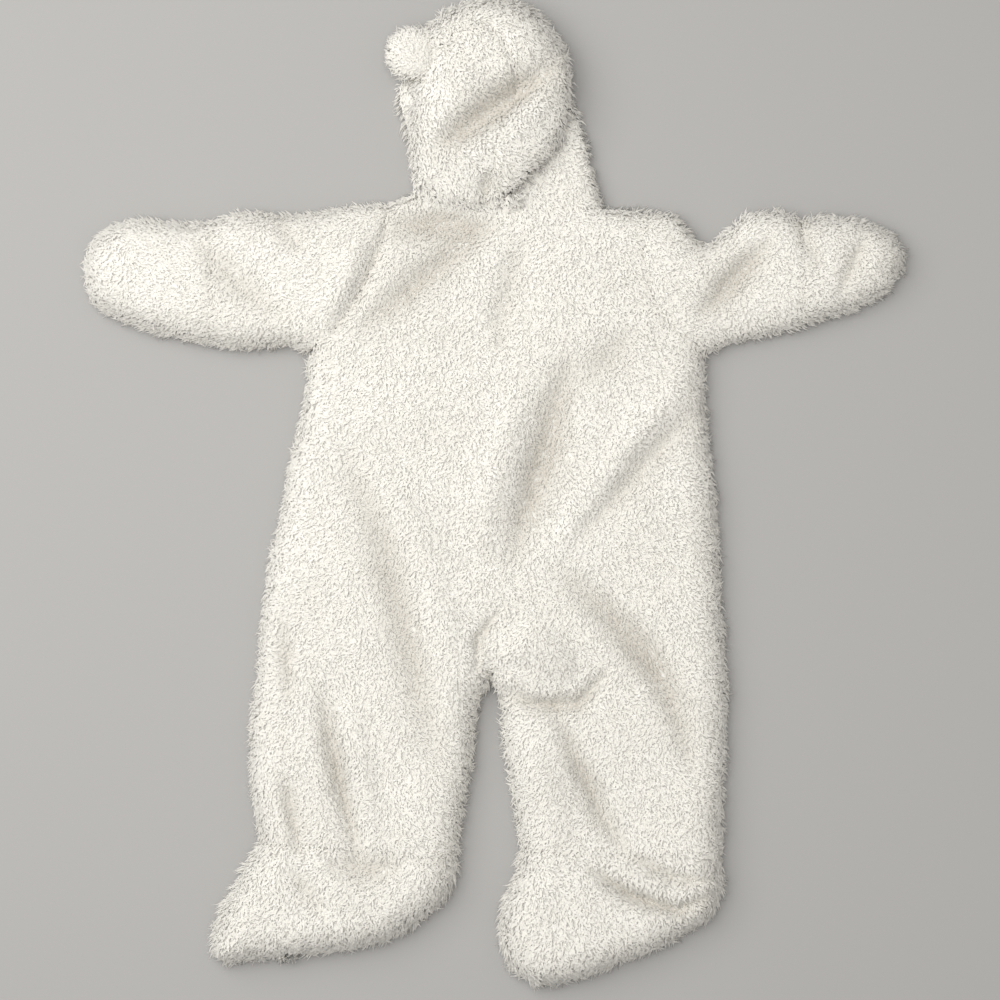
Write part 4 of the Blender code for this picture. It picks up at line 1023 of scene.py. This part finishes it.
tape_finish, tree, shader = nodes_of("zip_tape_weave")
weave = texture(tree, "ShaderNodeTexWave", 900.0)
tone = mixed(tree, (0.66, 0.62, 0.56), (0.82, 0.79, 0.74), weave.outputs["Fac"])
tree.links.new(tone, shader.inputs["Base Color"])
shader.inputs["Roughness"].default_value = 0.8


def grained_finish(name, colour, metallic, scale, smoothest, roughest):
    """A plain material whose roughness varies by fine noise."""
    made, tree, shader = nodes_of(name)
    grain = texture(tree, "ShaderNodeTexNoise", scale)
    rough = tree.nodes.new("ShaderNodeMapRange")
    rough.inputs["To Min"].default_value = smoothest
    rough.inputs["To Max"].default_value = roughest
    tree.links.new(grain.outputs["Fac"], rough.inputs["Value"])
    tree.links.new(rough.outputs["Result"], shader.inputs["Roughness"])
    shader.inputs["Base Color"].default_value = (*colour, 1)
    shader.inputs["Metallic"].default_value = metallic
    return made


nickel = grained_finish("zip_nickel_satin", (0.62, 0.61, 0.59), 1.0, 900.0, 0.28, 0.42)
for node, finish in (("zip_tape", tape_finish), ("zip_slider", nickel), ("zip_pull", nickel)):
    for slot in bpy.data.objects[node].material_slots:
        slot.material = finish

coil_finish = grained_finish("zip_coil_plastic", (0.84, 0.81, 0.75), 0.0, 400.0, 0.35, 0.5)

# A tooth is a small ellipsoid half sunk in the coil: a pole, three rings of six and a pole.
height = np.linspace(0, np.pi, TEETH_RINGS + 2)[1:-1, None]
angle = np.arange(TEETH_AROUND)[None] * (2 * np.pi / TEETH_AROUND)
rings = globe(height, angle).reshape(-1, 3)
tooth = np.concatenate([[(0, 0, 1)], rings, [(0, 0, -1)]]) * TOOTH_SIZE
here = np.arange(TEETH_AROUND)
there = (here + 1) % TEETH_AROUND
last = 1 + TEETH_RINGS * TEETH_AROUND
corners = [np.stack([0 * here, 1 + here, 1 + there], 1),
           np.stack([0 * here + last, last - TEETH_AROUND + there, last - TEETH_AROUND + here], 1)]
for number in range(TEETH_RINGS - 1):
    a = 1 + number * TEETH_AROUND
    b = a + TEETH_AROUND
    corners += [np.stack([a + here, b + here, b + there], 1),
                np.stack([a + here, b + there, a + there], 1)]
corners = np.concatenate(corners)
tape_low, tape_high = (np.array(corner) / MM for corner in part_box("zip_tape"))
centre = (tape_low[0] + tape_high[0]) / 2
along = np.arange(tape_low[1] + COIL_ENDS[0], tape_high[1] - COIL_ENDS[1], TOOTH_PITCH)
places = np.concatenate([
    np.stack([0 * along + centre + side * TOOTH_ASIDE, along + (side + 1) * TOOTH_PITCH / 4,
              0 * along + tape_low[2] + TOOTH_SUNK], 1)
    for side in (-1, 1)])
teeth = mesh_of("zip_teeth", (places[:, None] + tooth).reshape(-1, 3),
                (np.arange(len(places))[:, None, None] * len(tooth) + corners).reshape(-1, 3),
                coil_finish)
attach(teeth, "suit")

# ---------------------------------------------------------------------------------------------
# Studio: a plain pale floor, a wide window to the upper left, a small ceiling light and a weak
# fill all round, with the camera straight above.

floor_mesh = bpy.data.meshes.new("floor")
floor_mesh.from_pydata([(-4, -4, 0), (4, -4, 0), (4, 4, 0), (-4, 4, 0)], [], [(0, 1, 2, 3)])
floor = bpy.data.objects.new("floor", floor_mesh)
bpy.context.scene.collection.objects.link(floor)
paper, tree, shader = nodes_of("floor_paper")
shader.inputs["Base Color"].default_value = (0.44, 0.43, 0.415, 1)
shader.inputs["Roughness"].default_value = 0.9
floor_mesh.materials.append(paper)

world = bpy.data.worlds.new("studio")
world.use_nodes = True
world.node_tree.nodes["Background"].inputs["Color"].default_value = (1.0, 0.985, 0.965, 1)
world.node_tree.nodes["Background"].inputs["Strength"].default_value = 0.39
bpy.context.scene.world = world

for name, place, size, power in (
        ("ceiling_light", (0.0, 0.06, 2.4), 0.8, 18.0),
        ("window_light", (-0.86, 0.42, 1.45), 1.6, 19.0)):
    data = bpy.data.lights.new(name, "AREA")
    data.size = size
    data.energy = power
    light = bpy.data.objects.new(name, data)
    light.location = place
    light.rotation_euler = Vector(place).to_track_quat("Z", "Y").to_euler()
    bpy.context.scene.collection.objects.link(light)

lens = bpy.data.cameras.new("camera")
lens.lens = 100.0
lens.sensor_width = 36.0
camera = bpy.data.objects.new("camera", lens)
camera.location = (0.004, -0.0046, 2.012)
bpy.context.scene.collection.objects.link(camera)
bpy.context.scene.camera = camera
bpy.context.scene.view_settings.view_transform = "Standard"
